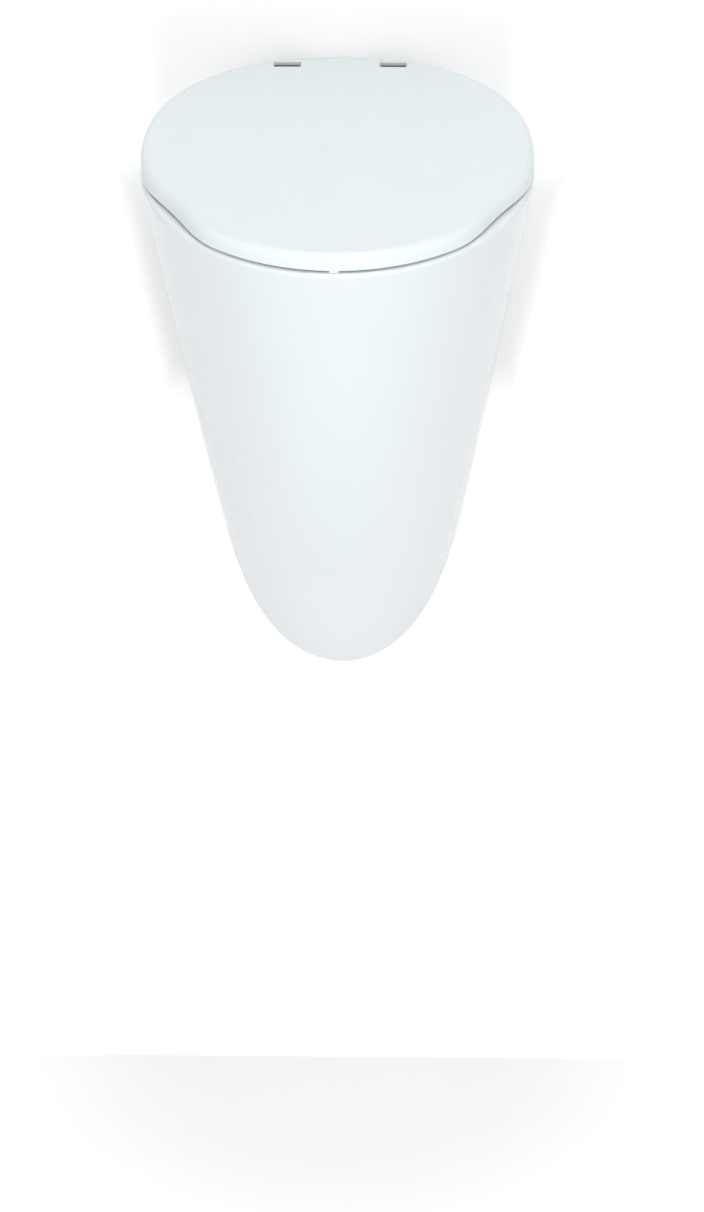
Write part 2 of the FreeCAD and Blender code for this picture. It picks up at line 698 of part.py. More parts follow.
def make_wing_nuts():
    u = hinge_u(1)
    top = -DECK_THICKNESS - BUSH_THICKNESS - WASHER_THICKNESS
    seat = rim_point(u, STUD_V, top)
    hub = Part.makeCone(WING_NUT_RADIUS + WING_NUT_TAPER, WING_NUT_RADIUS - WING_NUT_TAPER,
                        WING_NUT_HEIGHT, seat, -Z_AXIS)
    wings = box(u - WING_SPAN / 2, u + WING_SPAN / 2, -STUD_V - WING_THICKNESS / 2,
                -STUD_V + WING_THICKNESS / 2, top - WING_BOTTOM, top - WING_TOP)
    tips = [e for e in wings.Edges if e.BoundBox.YLength > WING_THICKNESS / 2]
    wings = wings.makeFillet(WING_CORNER, tips)
    hole = rod(STUD_RADIUS, seat, -Z_AXIS, WING_NUT_HEIGHT + WING_BOTTOM)
    return pair(from_rim(hub.fuse(wings).cut(hole).removeSplitter()))


# ---------------------------------------------------------------- flush inlet

def make_spreader():
    """The nozzle in the bowl: a threaded shank, a flange and a closed drum with a fan of jets."""
    flange_rear = INLET_BOSS_FRONT + INLET_GASKET
    drum_front = flange_rear + SPREADER_FLANGE_THICKNESS + SPREADER_LENGTH
    shank = rod(SHANK_RADIUS, inlet_point(SHANK_END), -Y_AXIS, flange_rear - SHANK_END)
    flange = rod(SPREADER_FLANGE, inlet_point(flange_rear), -Y_AXIS, SPREADER_FLANGE_THICKNESS)
    drum = rod(SPREADER_RADIUS, inlet_point(flange_rear), -Y_AXIS, drum_front - flange_rear)
    front_edge = [e for e in drum.Edges if abs(e.BoundBox.YMax + drum_front) < LEVEL]
    drum = drum.makeFillet(SPREADER_EDGE, front_edge)
    passage = rod(SHANK_BORE, inlet_point(SHANK_END), -Y_AXIS,
                  drum_front - SPREADER_FLANGE_THICKNESS - SHANK_END)
    jets = []
    middle = inlet_point(drum_front - SPREADER_LENGTH / 2)
    for k in range(SPREADER_JETS):
        angle = math.radians(180 * k / (SPREADER_JETS - 1) - 180)
        aim = FreeCAD.Vector(math.cos(angle), 0, math.sin(angle))
        jets.append(rod(JET_RADIUS, middle, aim, SPREADER_RADIUS + OVERRUN))
    return shank.fuse([flange, drum]).cut([passage] + jets).removeSplitter()


def make_spreader_gasket():
    return ring(SPREADER_FLANGE, SHANK_RADIUS, inlet_point(INLET_BOSS_FRONT), -Y_AXIS, INLET_GASKET)


def make_inlet_washer():
    return ring(SPREADER_FLANGE, SHANK_RADIUS, inlet_point(INLET_BOSS_REAR), Y_AXIS, INLET_GASKET)


def make_inlet_nut():
    start = inlet_point(INLET_BOSS_REAR - INLET_GASKET)
    return hexagon(LOCK_NUT_RADIUS, start, Y_AXIS, LOCK_NUT_THICKNESS).cut(
        rod(SHANK_RADIUS, start, Y_AXIS, LOCK_NUT_THICKNESS))


def make_inlet_connector():
    body = rod(CONNECTOR_RADIUS, inlet_point(BACK_PLAY), -Y_AXIS, CONNECTOR_FRONT - BACK_PLAY)
    supply = rod(SUPPLY_BORE, inlet_point(BACK_PLAY), -Y_AXIS, SUPPLY_LENGTH)
    passage = rod(SHANK_BORE, inlet_point(BACK_PLAY), -Y_AXIS, CONNECTOR_FRONT)
    socket = rod(CONNECTOR_SOCKET, inlet_point(CONNECTOR_STEP), -Y_AXIS, CONNECTOR_FRONT - CONNECTOR_STEP)
    return body.cut([supply, passage, socket]).removeSplitter()


def make_inlet_seal():
    return ring(CONNECTOR_SOCKET, SHANK_RADIUS, inlet_point(CONNECTOR_FRONT - LIP_SEAL_INSET), Y_AXIS,
                LIP_SEAL_LENGTH)


# ---------------------------------------------------------------- waste and trap

def flange_bottom():
    return OUTLET_SEAT_Z + FLANGE_GASKET


def flange_top():
    return flange_bottom() + FLANGE_THICKNESS


def tail_end():
    return OUTLET_SEAT_Z - TAIL_LENGTH


def make_waste_flange():
    plate_radius = OUTLET_POCKET - FLANGE_PLAY
    plate = rod(plate_radius, outlet_point(flange_bottom()), Z_AXIS, FLANGE_THICKNESS)
    tail = rod(TAIL_RADIUS, outlet_point(tail_end()), Z_AXIS, flange_bottom() - tail_end())
    bore = rod(TAIL_RADIUS - TAIL_WALL, outlet_point(tail_end()), Z_AXIS, flange_top() - tail_end())
    half = TAIL_RADIUS - TAIL_WALL / 2
    bridge = box(-half, half, OUTLET_Y - BRIDGE_WIDTH / 2, OUTLET_Y + BRIDGE_WIDTH / 2,
                 flange_top() - BRIDGE_DEPTH, flange_top())
    thread = rod(STRAINER_SCREW, outlet_point(flange_top()), -Z_AXIS, BRIDGE_DEPTH)
    return plate.fuse(tail).cut(bore).fuse(bridge).cut(thread).removeSplitter()


def make_flange_gasket():
    return ring(OUTLET_POCKET - FLANGE_PLAY, TAIL_RADIUS, outlet_point(OUTLET_SEAT_Z), Z_AXIS, FLANGE_GASKET)


def make_strainer():
    """A shallow domed plate with a ring of holes, on a flat rim."""
    base = outlet_point(flange_top())
    height = STRAINER_CROWN
    profile = [
        FreeCAD.Vector(0, 0, height - STRAINER_THICKNESS),
        FreeCAD.Vector(STRAINER_RADIUS - STRAINER_RIM, 0, 0),
        FreeCAD.Vector(STRAINER_RADIUS, 0, 0),
        FreeCAD.Vector(STRAINER_RADIUS, 0, STRAINER_THICKNESS),
        FreeCAD.Vector(STRAINER_RADIUS - STRAINER_RIM_TOP, 0, STRAINER_THICKNESS),
        FreeCAD.Vector(0, 0, height),
    ]
    plate = Part.Face(Part.makePolygon(profile + profile[:1])).revolve(FreeCAD.Vector(0, 0, 0), Z_AXIS, 360)
    post = rod(STRAINER_HEAD, FreeCAD.Vector(0, 0, 0), Z_AXIS, height - STRAINER_THICKNESS / 2)
    holes = [rod(STRAINER_SCREW, FreeCAD.Vector(0, 0, 0), Z_AXIS, height)]
    for k in range(STRAINER_HOLES):
        angle = 2 * math.pi * k / STRAINER_HOLES
        spot = FreeCAD.Vector(STRAINER_RING * math.cos(angle), STRAINER_RING * math.sin(angle), 0)
        holes.append(rod(STRAINER_HOLE, spot, Z_AXIS, height))
    solid = plate.fuse(post).cut(holes).removeSplitter()
    solid.translate(base)
    return solid


def make_strainer_screw():
    seat = flange_top() + STRAINER_CROWN
    head = rod(STRAINER_HEAD, outlet_point(seat), Z_AXIS, STRAINER_THICKNESS)
    top = [e for e in head.Edges if e.BoundBox.ZMin > seat + STRAINER_THICKNESS / 2]
    head = head.makeFillet(STRAINER_THICKNESS / 2, top)
    slot = box(-STRAINER_HEAD, STRAINER_HEAD, OUTLET_Y - STRAINER_SLOT / 2, OUTLET_Y + STRAINER_SLOT / 2,
               seat + STRAINER_THICKNESS / 2, seat + STRAINER_THICKNESS)
    shank = rod(STRAINER_SCREW, outlet_point(seat), -Z_AXIS, STRAINER_SCREW_LENGTH)
    return head.cut(slot).fuse(shank)


def make_under_gasket():
    return ring(WASTE_NUT_RADIUS, TAIL_RADIUS, outlet_point(OUTLET_BOSS_BOTTOM), -Z_AXIS, UNDER_GASKET)


def make_waste_nut():
    start = outlet_point(OUTLET_BOSS_BOTTOM - UNDER_GASKET)
    return hexagon(WASTE_NUT_RADIUS, start, -Z_AXIS, WASTE_NUT_HEIGHT).cut(
        rod(TAIL_RADIUS, start, -Z_AXIS, WASTE_NUT_HEIGHT))


def make_trap_body():
    """A bottle trap: a cup with a neck round the tail and a socket for the waste pipe in the wall."""
    foot = FreeCAD.Vector(0, TRAP_Y, TRAP_BOTTOM)
    cup = rod(TRAP_RADIUS, foot, Z_AXIS, TRAP_TOP - TRAP_BOTTOM)
    base = [e for e in cup.Edges if e.BoundBox.ZMax < TRAP_BOTTOM + LEVEL]
    cup = cup.makeFillet(TRAP_CORNER, base)
    neck = rod(NECK_RADIUS, outlet_point(TRAP_TOP - TRAP_WALL), Z_AXIS, NECK_HEIGHT + TRAP_WALL)
    socket_mouth = FreeCAD.Vector(0, -BACK_PLAY / 2, SOCKET_Z)
    socket = rod(SOCKET_RADIUS, socket_mouth, -Y_AXIS, -TRAP_Y - BACK_PLAY)
    inside = rod(TRAP_RADIUS - TRAP_WALL, foot + FreeCAD.Vector(0, 0, TRAP_WALL), Z_AXIS,
                 TRAP_TOP - TRAP_BOTTOM - 2 * TRAP_WALL)
    rounded = [e for e in inside.Edges if e.BoundBox.ZMax < TRAP_BOTTOM + TRAP_WALL + LEVEL]
    inside = inside.makeFillet(TRAP_CORNER - TRAP_WALL, rounded)
    return cup.fuse([neck, socket]).cut([
        inside,
        rod(NECK_BORE, outlet_point(TRAP_TOP), Z_AXIS, NECK_HEIGHT),
        rod(TAIL_RADIUS + UNION_PLAY, outlet_point(TRAP_TOP - 2 * TRAP_WALL), Z_AXIS, 2 * TRAP_WALL),
        rod(WASTE_BORE, socket_mouth, -Y_AXIS, WASTE_LENGTH),
        rod(SOCKET_SEAL_RADIUS, socket_mouth, -Y_AXIS, SOCKET_SEAL_LENGTH),
        rod(WASTE_PASSAGE, socket_mouth, -Y_AXIS, -TRAP_Y),
    ]).removeSplitter()


def make_socket_seal():
    return ring(SOCKET_SEAL_RADIUS, WASTE_BORE, FreeCAD.Vector(0, -BACK_PLAY / 2, SOCKET_Z), -Y_AXIS,
                SOCKET_SEAL_LENGTH)


def make_neck_seal():
    return ring(NECK_BORE, TAIL_RADIUS, outlet_point(TRAP_TOP), Z_AXIS, NECK_HEIGHT)


def make_union_nut():
    """The cap nut that draws the trap's neck up against its seal on the tail."""
    bottom = outlet_point(TRAP_TOP + UNION_PLAY)
    height = NECK_HEIGHT - UNION_PLAY
    cap = ring(NECK_RADIUS + UNION_WALL, TAIL_RADIUS, bottom, Z_AXIS, height + UNION_LIP)
    return cap.cut(rod(NECK_RADIUS, bottom, Z_AXIS, height))


def make_dip_tube():
    """The tube that dips into the water of the trap; it hangs by a collar on the tail's lower end."""
    outer = TAIL_RADIUS - TAIL_WALL - DIP_PLAY
    tube = ring(outer, outer - DIP_WALL, outlet_point(DIP_END), Z_AXIS, tail_end() + DIP_TOP - DIP_END)
    collar = ring(TAIL_RADIUS, outer - DIP_WALL, outlet_point(tail_end() - DIP_WALL), Z_AXIS, DIP_WALL)
    return tube.fuse(collar).removeSplitter()


# ---------------------------------------------------------------- hanging on the wall

def make_hanger(side):
    """A hook bracket: a wall plate with two holes, a shelf and an upturned tongue."""
    middle = HANGER_SPACING_X / 2
    left, right = middle - HANGER_WIDTH / 2, middle + HANGER_WIDTH / 2
    tongue_back = -BEAM_TO_WALL - BEAM_DEPTH - HOOK_GAP
    plate = box(left, right, -HANGER_SHEET, 0, -HANGER_SPACING_Z / 2 - HANGER_BELOW, HOOK_LEVEL)
    shelf = box(left, right, tongue_back - HANGER_SHEET, 0, HOOK_LEVEL - HANGER_SHEET, HOOK_LEVEL)
    tongue = box(left, right, tongue_back - HANGER_SHEET, tongue_back, HOOK_LEVEL - HANGER_SHEET,
                 HOOK_LEVEL + HOOK_HEIGHT)
    bracket = plate.fuse([shelf, tongue]).removeSplitter()
    heel = [e for e in bracket.Edges
            if e.BoundBox.XLength > HANGER_SHEET and abs(e.BoundBox.ZMax - HOOK_LEVEL + HANGER_SHEET) < LEVEL
            and e.BoundBox.YMax < tongue_back]
    bracket = bracket.makeFillet(HOOK_BEND, heel)
    for level in (-1, 1):
        hole = FreeCAD.Vector(middle, 0, level * HANGER_SPACING_Z / 2)
        bracket = bracket.cut(rod(HANGER_HOLE, hole, -Y_AXIS, HANGER_SHEET))
    return bracket if side > 0 else mirrored(bracket)


def make_hook_pads():
    middle = HANGER_SPACING_X / 2
    half = HANGER_WIDTH / 2 - HOOK_PAD_INSET
    return pair(box(middle - half, middle + half, -BEAM_TO_WALL - BEAM_DEPTH, -BEAM_TO_WALL - HOOK_PAD_INSET,
                    HOOK_LEVEL, HOOK_LEVEL + HOOK_PAD))


def make_side_angle(side):
    """An angle on the wall whose upright leg the side screw pulls against."""
    face = angle_face()
    low, high = CLAMP_Z - ANGLE_HEIGHT / 2, CLAMP_Z + ANGLE_HEIGHT / 2
    leg = box(face - ANGLE_SHEET, face, -ANGLE_REACH, 0, low, high)
    foot = box(face - ANGLE_FOOT, face, -ANGLE_SHEET, 0, low, high)
    angle = leg.fuse(foot).removeSplitter()
    nose = [e for e in angle.Edges
            if e.BoundBox.YMax < -ANGLE_REACH + LEVEL and abs(e.BoundBox.XLength - ANGLE_SHEET) < LEVEL]
    angle = angle.makeFillet(ANGLE_CORNER, nose)
    angle = angle.cut([
        rod(CLAMP_SCREW, clamp_point(face - ANGLE_SHEET), X_AXIS, ANGLE_SHEET),
        rod(ANGLE_HOLE, FreeCAD.Vector(face - ANGLE_HOLE_INSET, 0, CLAMP_Z), -Y_AXIS, ANGLE_SHEET),
    ])
    return angle if side > 0 else mirrored(angle)


def make_clamp_sleeves():
    """Plastic sleeves that keep the screw off the glaze: a tube in the hole and a collar on the seat."""
    seat = clamp_point(CLAMP_SEAT_X)
    tube = ring(CLAMP_HOLE - CAP_PLAY, CLAMP_SCREW, seat, -X_AXIS, CLAMP_BOSS_LENGTH)
    collar = ring(CLAMP_POCKET - 2 * CAP_PLAY, CLAMP_SCREW, seat, X_AXIS, SLEEVE_COLLAR)
    return pair(tube.fuse(collar).removeSplitter())


def make_clamp_screws():
    under_head = clamp_point(CLAMP_SEAT_X + SLEEVE_COLLAR)
    head = rod(CLAMP_HEAD, under_head, X_AXIS, CLAMP_HEAD_HEIGHT)
    key = hexagon(CLAMP_KEY, under_head + (CLAMP_HEAD_HEIGHT - CLAMP_KEY_DEPTH) * X_AXIS, X_AXIS,
                  CLAMP_KEY_DEPTH)
    shank = rod(CLAMP_SCREW, under_head, -X_AXIS, CLAMP_SCREW_LENGTH)
    return pair(head.cut(key).fuse(shank).removeSplitter())


def make_clamp_caps():
    """Push-in caps that close the side pockets, cut to the curve of the ceramic."""
    start = clamp_point(CLAMP_SEAT_X + SLEEVE_COLLAR + CLAMP_HEAD_HEIGHT)
    plug = rod(CLAMP_POCKET - CAP_PLAY, start, X_AXIS, WIDTH_TOP / 2 - CLAMP_SEAT_X)
    return pair(plug.common(from_rim(body_solid(0, 0))))


# ---------------------------------------------------------------- all pieces

PIECES = {
    "ceramic_body": make_ceramic,
    "lid": make_lid,
    "lid_buffer_front": make_front_buffer,
    "lid_buffers_side": lambda: pair(make_round_buffer(buffer_places()[0])),
    "lid_buffers_rear": lambda: pair(make_round_buffer(buffer_places()[1])),
    "hinge_post_left": lambda: make_hinge_post(-1),
    "hinge_post_right": lambda: make_hinge_post(1),
    "hinge_foot_seals": make_foot_seals,
    "hinge_damper_left": lambda: make_damper(-1),
    "hinge_damper_right": lambda: make_damper(1),
    "hinge_pin_left": lambda: make_hinge_pin(-1),
    "hinge_pin_right": lambda: make_hinge_pin(1),
    "hinge_pin_grub_screws": make_hinge_grubs,
    "hinge_studs": make_hinge_studs,
    "hinge_rubber_bushes": make_hinge_bushes,
    "hinge_washers": make_hinge_washers,
    "hinge_wing_nuts": make_wing_nuts,
    "flush_spreader": make_spreader,
    "spreader_gasket": make_spreader_gasket,
    "inlet_washer": make_inlet_washer,
    "inlet_lock_nut": make_inlet_nut,
    "inlet_connector": make_inlet_connector,
    "inlet_lip_seal": make_inlet_seal,
    "waste_flange": make_waste_flange,
    "waste_flange_gasket": make_flange_gasket,
    "waste_strainer": make_strainer,
    "strainer_screw": make_strainer_screw,
    "waste_under_gasket": make_under_gasket,
    "waste_lock_nut": make_waste_nut,
    "trap_body": make_trap_body,
    "trap_dip_tube": make_dip_tube,
    "trap_neck_seal": make_neck_seal,
    "trap_union_nut": make_union_nut,
    "waste_socket_seal": make_socket_seal,
    "wall_hanger_left": lambda: make_hanger(-1),
    "wall_hanger_right": lambda: make_hanger(1),
    "hanger_pads": make_hook_pads,
    "side_angle_left": lambda: make_side_angle(-1),
    "side_angle_right": lambda: make_side_angle(1),
    "side_screw_sleeves": make_clamp_sleeves,
    "side_clamp_screws": make_clamp_screws,
    "side_screw_caps": make_clamp_caps,
}

os.makedirs("parts", exist_ok=True)
for name, make in PIECES.items():
    make().exportStep(f"parts/{name}.step")
    print(name)
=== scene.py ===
"""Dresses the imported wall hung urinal: glazed china, moulded lid, rubber, metal and plastic fittings.

It stands in a plain studio, on a white wall above a pale floor, and the camera looks down on it.
"""

import math

import bpy
from bpy.props import FloatProperty, FloatVectorProperty, IntProperty, PointerProperty
from mathutils import Matrix, Vector


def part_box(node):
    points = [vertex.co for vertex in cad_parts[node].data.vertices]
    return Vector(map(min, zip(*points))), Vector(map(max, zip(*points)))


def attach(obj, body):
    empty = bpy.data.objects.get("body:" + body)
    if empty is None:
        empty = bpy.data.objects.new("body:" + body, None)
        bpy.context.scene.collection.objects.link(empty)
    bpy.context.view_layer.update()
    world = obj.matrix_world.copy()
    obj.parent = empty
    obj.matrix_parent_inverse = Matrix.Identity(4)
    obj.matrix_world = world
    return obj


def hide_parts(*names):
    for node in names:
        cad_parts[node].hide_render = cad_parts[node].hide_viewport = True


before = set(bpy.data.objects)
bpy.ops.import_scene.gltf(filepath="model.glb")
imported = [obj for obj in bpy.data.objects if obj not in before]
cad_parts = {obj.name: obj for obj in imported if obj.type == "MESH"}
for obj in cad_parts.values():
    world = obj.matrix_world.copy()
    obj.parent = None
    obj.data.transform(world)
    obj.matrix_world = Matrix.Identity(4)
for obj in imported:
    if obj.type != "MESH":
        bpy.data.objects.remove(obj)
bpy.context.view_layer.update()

bl_info = {
    "name": "Wall hung urinal",
    "version": (1, 0, 0),
    "blender": (4, 5, 0),
    "location": "3D View > Sidebar > Urinal",
    "description": "Finishes a wall hung urinal and lights it in a plain studio",
    "category": "Object",
}


# ---------------------------------------------------------------- node building

NOISE_LOW = 0.3             # noise lies mostly between these two
NOISE_HIGH = 0.7
LINE_SCALE = (60.0, 2500.0, 2500.0)     # brushed lines: long along X, fine across it


def new_material(name):
    """A material with its node tree's nodes, its links and its Principled shader."""
    material = bpy.data.materials.new(name)
    material.use_nodes = True
    tree = material.node_tree
    return material, tree, tree.nodes["Principled BSDF"]


def add_node(tree, kind, **settings):
    """A node with its attributes set, and its inputs where a key names one."""
    node = tree.nodes.new(kind)
    for key, value in settings.items():
        if key in node.inputs:
            node.inputs[key].default_value = value
        else:
            setattr(node, key, value)
    return node


def group_sockets(group, inputs, outputs):
    """Makes a group's sockets from (name, kind, default) and (name, kind)."""
    for name, kind, default in inputs:
        socket = group.interface.new_socket(name=name, in_out="INPUT", socket_type=kind)
        socket.default_value = default
    for name, kind in outputs:
        group.interface.new_socket(name=name, in_out="OUTPUT", socket_type=kind)


def cached_group(name, build):
    """The node group of this name, built once."""
    return bpy.data.node_groups.get(name) or build(name)


def build_surface_waviness(name):
    """Slow waves and a fine skin, as on glaze that has flowed or plastic that has cooled in a mould."""
    group = bpy.data.node_groups.new(name, "ShaderNodeTree")
    group_sockets(
        group,
        [
            ("Wave size", "NodeSocketFloat", 0.03),
            ("Wave height", "NodeSocketFloat", 0.00005),
            ("Skin size", "NodeSocketFloat", 0.002),
            ("Skin height", "NodeSocketFloat", 0.000004),
        ],
        [("Normal", "NodeSocketVector"), ("Variation", "NodeSocketFloat")],
    )
    start = add_node(group, "NodeGroupInput")
    end = add_node(group, "NodeGroupOutput")
    place = add_node(group, "ShaderNodeTexCoord")
    slow = noise_at_size(group, place, start.outputs["Wave size"], 2.0)
    fine = noise_at_size(group, place, start.outputs["Skin size"], 3.0)
    skin = add_node(group, "ShaderNodeBump")
    group.links.new(start.outputs["Skin height"], skin.inputs["Distance"])
    group.links.new(fine.outputs["Fac"], skin.inputs["Height"])
    wave = add_node(group, "ShaderNodeBump")
    group.links.new(start.outputs["Wave height"], wave.inputs["Distance"])
    group.links.new(slow.outputs["Fac"], wave.inputs["Height"])
    group.links.new(skin.outputs["Normal"], wave.inputs["Normal"])
    group.links.new(wave.outputs["Normal"], end.inputs["Normal"])
    group.links.new(slow.outputs["Fac"], end.inputs["Variation"])
    return group


def noise_at_size(tree, place, size, detail):
    """Noise whose lumps have the size, in metres, that a socket gives."""
    scale = add_node(tree, "ShaderNodeMath", operation="DIVIDE")
    scale.inputs[0].default_value = 1.0
    tree.links.new(size, scale.inputs[1])
    noise = add_node(tree, "ShaderNodeTexNoise", Detail=detail)
    tree.links.new(place.outputs["Object"], noise.inputs["Vector"])
    tree.links.new(scale.outputs["Value"], noise.inputs["Scale"])
    return noise


def noise_spread(tree):
    """Spreads noise over its whole range."""
    spread = add_node(tree, "ShaderNodeMapRange")
    spread.inputs["From Min"].default_value = NOISE_LOW
    spread.inputs["From Max"].default_value = NOISE_HIGH
    return spread


def build_brushed_lines(name):
    """Fine parallel lines along X, as a belt or a rolling mill leaves them."""
    group = bpy.data.node_groups.new(name, "ShaderNodeTree")
    group_sockets(
        group,
        [("Line height", "NodeSocketFloat", 0.00001)],
        [("Normal", "NodeSocketVector"), ("Lines", "NodeSocketFloat")],
    )
    start = add_node(group, "NodeGroupInput")
    end = add_node(group, "NodeGroupOutput")
    place = add_node(group, "ShaderNodeTexCoord")
    stretch = add_node(group, "ShaderNodeMapping", Scale=LINE_SCALE)
    noise = add_node(group, "ShaderNodeTexNoise", Scale=1.0, Detail=3.0)
    bump = add_node(group, "ShaderNodeBump")
    group.links.new(place.outputs["Object"], stretch.inputs["Vector"])
    group.links.new(stretch.outputs["Vector"], noise.inputs["Vector"])
    group.links.new(noise.outputs["Fac"], bump.inputs["Height"])
    group.links.new(start.outputs["Line height"], bump.inputs["Distance"])
    group.links.new(bump.outputs["Normal"], end.inputs["Normal"])
    group.links.new(noise.outputs["Fac"], end.inputs["Lines"])
    return group


def build_two_tone(name):
    """A colour that drifts between two near tones with a mask."""
    group = bpy.data.node_groups.new(name, "ShaderNodeTree")
    group_sockets(
        group,
        [
            ("Mask", "NodeSocketFloat", 0.5),
            ("First", "NodeSocketColor", (1.0, 1.0, 1.0, 1.0)),
            ("Second", "NodeSocketColor", (1.0, 1.0, 1.0, 1.0)),
        ],
        [("Color", "NodeSocketColor")],
    )
    start = add_node(group, "NodeGroupInput")
    end = add_node(group, "NodeGroupOutput")
    spread = noise_spread(group)
    blend = add_node(group, "ShaderNodeMix", data_type="RGBA")
    group.links.new(start.outputs["Mask"], spread.inputs["Value"])
    group.links.new(spread.outputs["Result"], blend.inputs[0])
    group.links.new(start.outputs["First"], blend.inputs[6])
    group.links.new(start.outputs["Second"], blend.inputs[7])
    group.links.new(blend.outputs[2], end.inputs["Color"])
    return group


def build_wall_contact(name):
    """A mask that is 1 on the flat back that rests on the wall."""
    group = bpy.data.node_groups.new(name, "ShaderNodeTree")
    group_sockets(
        group,
        [("Near", "NodeSocketFloat", -0.0009), ("Touching", "NodeSocketFloat", -0.0004)],
        [("Contact", "NodeSocketFloat")],
    )
    start = add_node(group, "NodeGroupInput")
    end = add_node(group, "NodeGroupOutput")
    place = add_node(group, "ShaderNodeTexCoord")
    split = add_node(group, "ShaderNodeSeparateXYZ")
    mask = add_node(group, "ShaderNodeMapRange")
    group.links.new(place.outputs["Object"], split.inputs["Vector"])
    group.links.new(split.outputs["Y"], mask.inputs["Value"])
    group.links.new(start.outputs["Near"], mask.inputs["From Min"])
    group.links.new(start.outputs["Touching"], mask.inputs["From Max"])
    group.links.new(mask.outputs["Result"], end.inputs["Contact"])
    return group


def build_zinc_crystals(name):
    """Patches like frost, each a little lighter or darker than the next."""
    group = bpy.data.node_groups.new(name, "ShaderNodeTree")
    group_sockets(
        group,
        [("Crystals per metre", "NodeSocketFloat", 260.0), ("Relief", "NodeSocketFloat", 0.000008)],
        [("Normal", "NodeSocketVector"), ("Crystals", "NodeSocketFloat")],
    )
    start = add_node(group, "NodeGroupInput")
    end = add_node(group, "NodeGroupOutput")
    place = add_node(group, "ShaderNodeTexCoord")
    cells = add_node(group, "ShaderNodeTexVoronoi", Randomness=1.0)
    split = add_node(group, "ShaderNodeSeparateColor")
    bump = add_node(group, "ShaderNodeBump")
    group.links.new(place.outputs["Object"], cells.inputs["Vector"])
    group.links.new(start.outputs["Crystals per metre"], cells.inputs["Scale"])
    group.links.new(cells.outputs["Color"], split.inputs["Color"])
    group.links.new(cells.outputs["Distance"], bump.inputs["Height"])
    group.links.new(start.outputs["Relief"], bump.inputs["Distance"])
    group.links.new(bump.outputs["Normal"], end.inputs["Normal"])
    group.links.new(split.outputs["Red"], end.inputs["Crystals"])
    return group


def use_group(tree, name, build, **values):
    """A node of a cached group, with its inputs set by their names."""
    node = add_node(tree, "ShaderNodeGroup", node_tree=cached_group(name, build))
    for key, value in values.items():
        node.inputs[key.replace("_", " ").capitalize()].default_value = value
    return node


def shade(colour, factor):
    """A colour made darker or lighter by a factor, with alpha."""
    return tuple(min(1.0, c * factor) for c in colour[:3]) + (1.0,)


def tint_with(tree, shader, mask, colour, spread):
    """Drives Base Color between two tones of one colour by a mask."""
    tones = use_group(tree, "two_tone", build_two_tone)
    tones.inputs["First"].default_value = shade(colour, 1.0 - spread)
    tones.inputs["Second"].default_value = shade(colour, 1.0 + spread)
    tree.links.new(mask, tones.inputs["Mask"])
    tree.links.new(tones.outputs["Color"], shader.inputs["Base Color"])


def vary_roughness(tree, shader, mask, low, high):
    """Drives Roughness between two values by a mask of noise."""
    spread = noise_spread(tree)
    spread.inputs["To Min"].default_value = low
    spread.inputs["To Max"].default_value = high
    tree.links.new(mask, spread.inputs["Value"])
    tree.links.new(spread.outputs["Result"], shader.inputs["Roughness"])


# ---------------------------------------------------------------- materials

STEEL = (0.56, 0.57, 0.58)
# Colour of the hinge posts: dark metal, made darker still to paint the shade seen down the slots in the
# lid.
DARK_METAL_AND_SLOT_SHADE = (0.16, 0.17, 0.18)
CHROME = (0.80, 0.81, 0.82)
BRASS = (0.62, 0.42, 0.16)
ZINC = (0.50, 0.52, 0.54)
BLACK_PLASTIC = (0.05, 0.05, 0.055)
BLACK_RUBBER = (0.018, 0.018, 0.019)
CHINA_IOR = 1.5
PLASTIC_IOR = 1.49
RUBBER_GLOSS = 0.35
GLAZED = {"roughness": 0.10, "coat": 0.6, "coat_roughness": 0.03}
BARE_ROUGHNESS = 0.85
GLAZE_DRIFT = 0.003         # share by which the glaze is lighter or darker from place to place
RUBBER_DRIFT = 0.08
METAL_DRIFT = 0.06
ZINC_DRIFT = 0.12


def glaze_material(finish):
    """White vitreous china under a clear glaze, left bare and matt where it meets the wall."""
    material, tree, shader = new_material("white_glaze")
    surface = use_group(tree, "surface_waviness", build_surface_waviness,
                        wave_size=0.06, wave_height=0.00004, skin_size=0.0016, skin_height=0.0000008)
    tones = use_group(tree, "two_tone", build_two_tone)
    tones.inputs["First"].default_value = shade(finish.glaze_colour, 1.0 - GLAZE_DRIFT)
    tones.inputs["Second"].default_value = shade(finish.glaze_colour, 1.0 + GLAZE_DRIFT)
    tree.links.new(surface.outputs["Variation"], tones.inputs["Mask"])
    bare = use_group(tree, "wall_contact", build_wall_contact)
    colour = add_node(tree, "ShaderNodeMix", data_type="RGBA")
    colour.inputs[7].default_value = tuple(finish.bisque_colour) + (1.0,)
    tree.links.new(bare.outputs["Contact"], colour.inputs[0])
    tree.links.new(tones.outputs["Color"], colour.inputs[6])
    tree.links.new(colour.outputs[2], shader.inputs["Base Color"])
    blend_value(tree, shader, "Roughness", bare.outputs["Contact"], GLAZED["roughness"], BARE_ROUGHNESS)
    blend_value(tree, shader, "Coat Weight", bare.outputs["Contact"], GLAZED["coat"], 0.0)
    tree.links.new(surface.outputs["Normal"], shader.inputs["Normal"])
    shader.inputs["IOR"].default_value = CHINA_IOR
    shader.inputs["Coat Roughness"].default_value = GLAZED["coat_roughness"]
    return material


def blend_value(tree, shader, socket, mask, low, high):
    """Drives a value of the shader from low to high by a mask."""
    spread = add_node(tree, "ShaderNodeMapRange")
    spread.inputs["To Min"].default_value = low
    spread.inputs["To Max"].default_value = high
    tree.links.new(mask, spread.inputs["Value"])
    tree.links.new(spread.outputs["Result"], shader.inputs[socket])


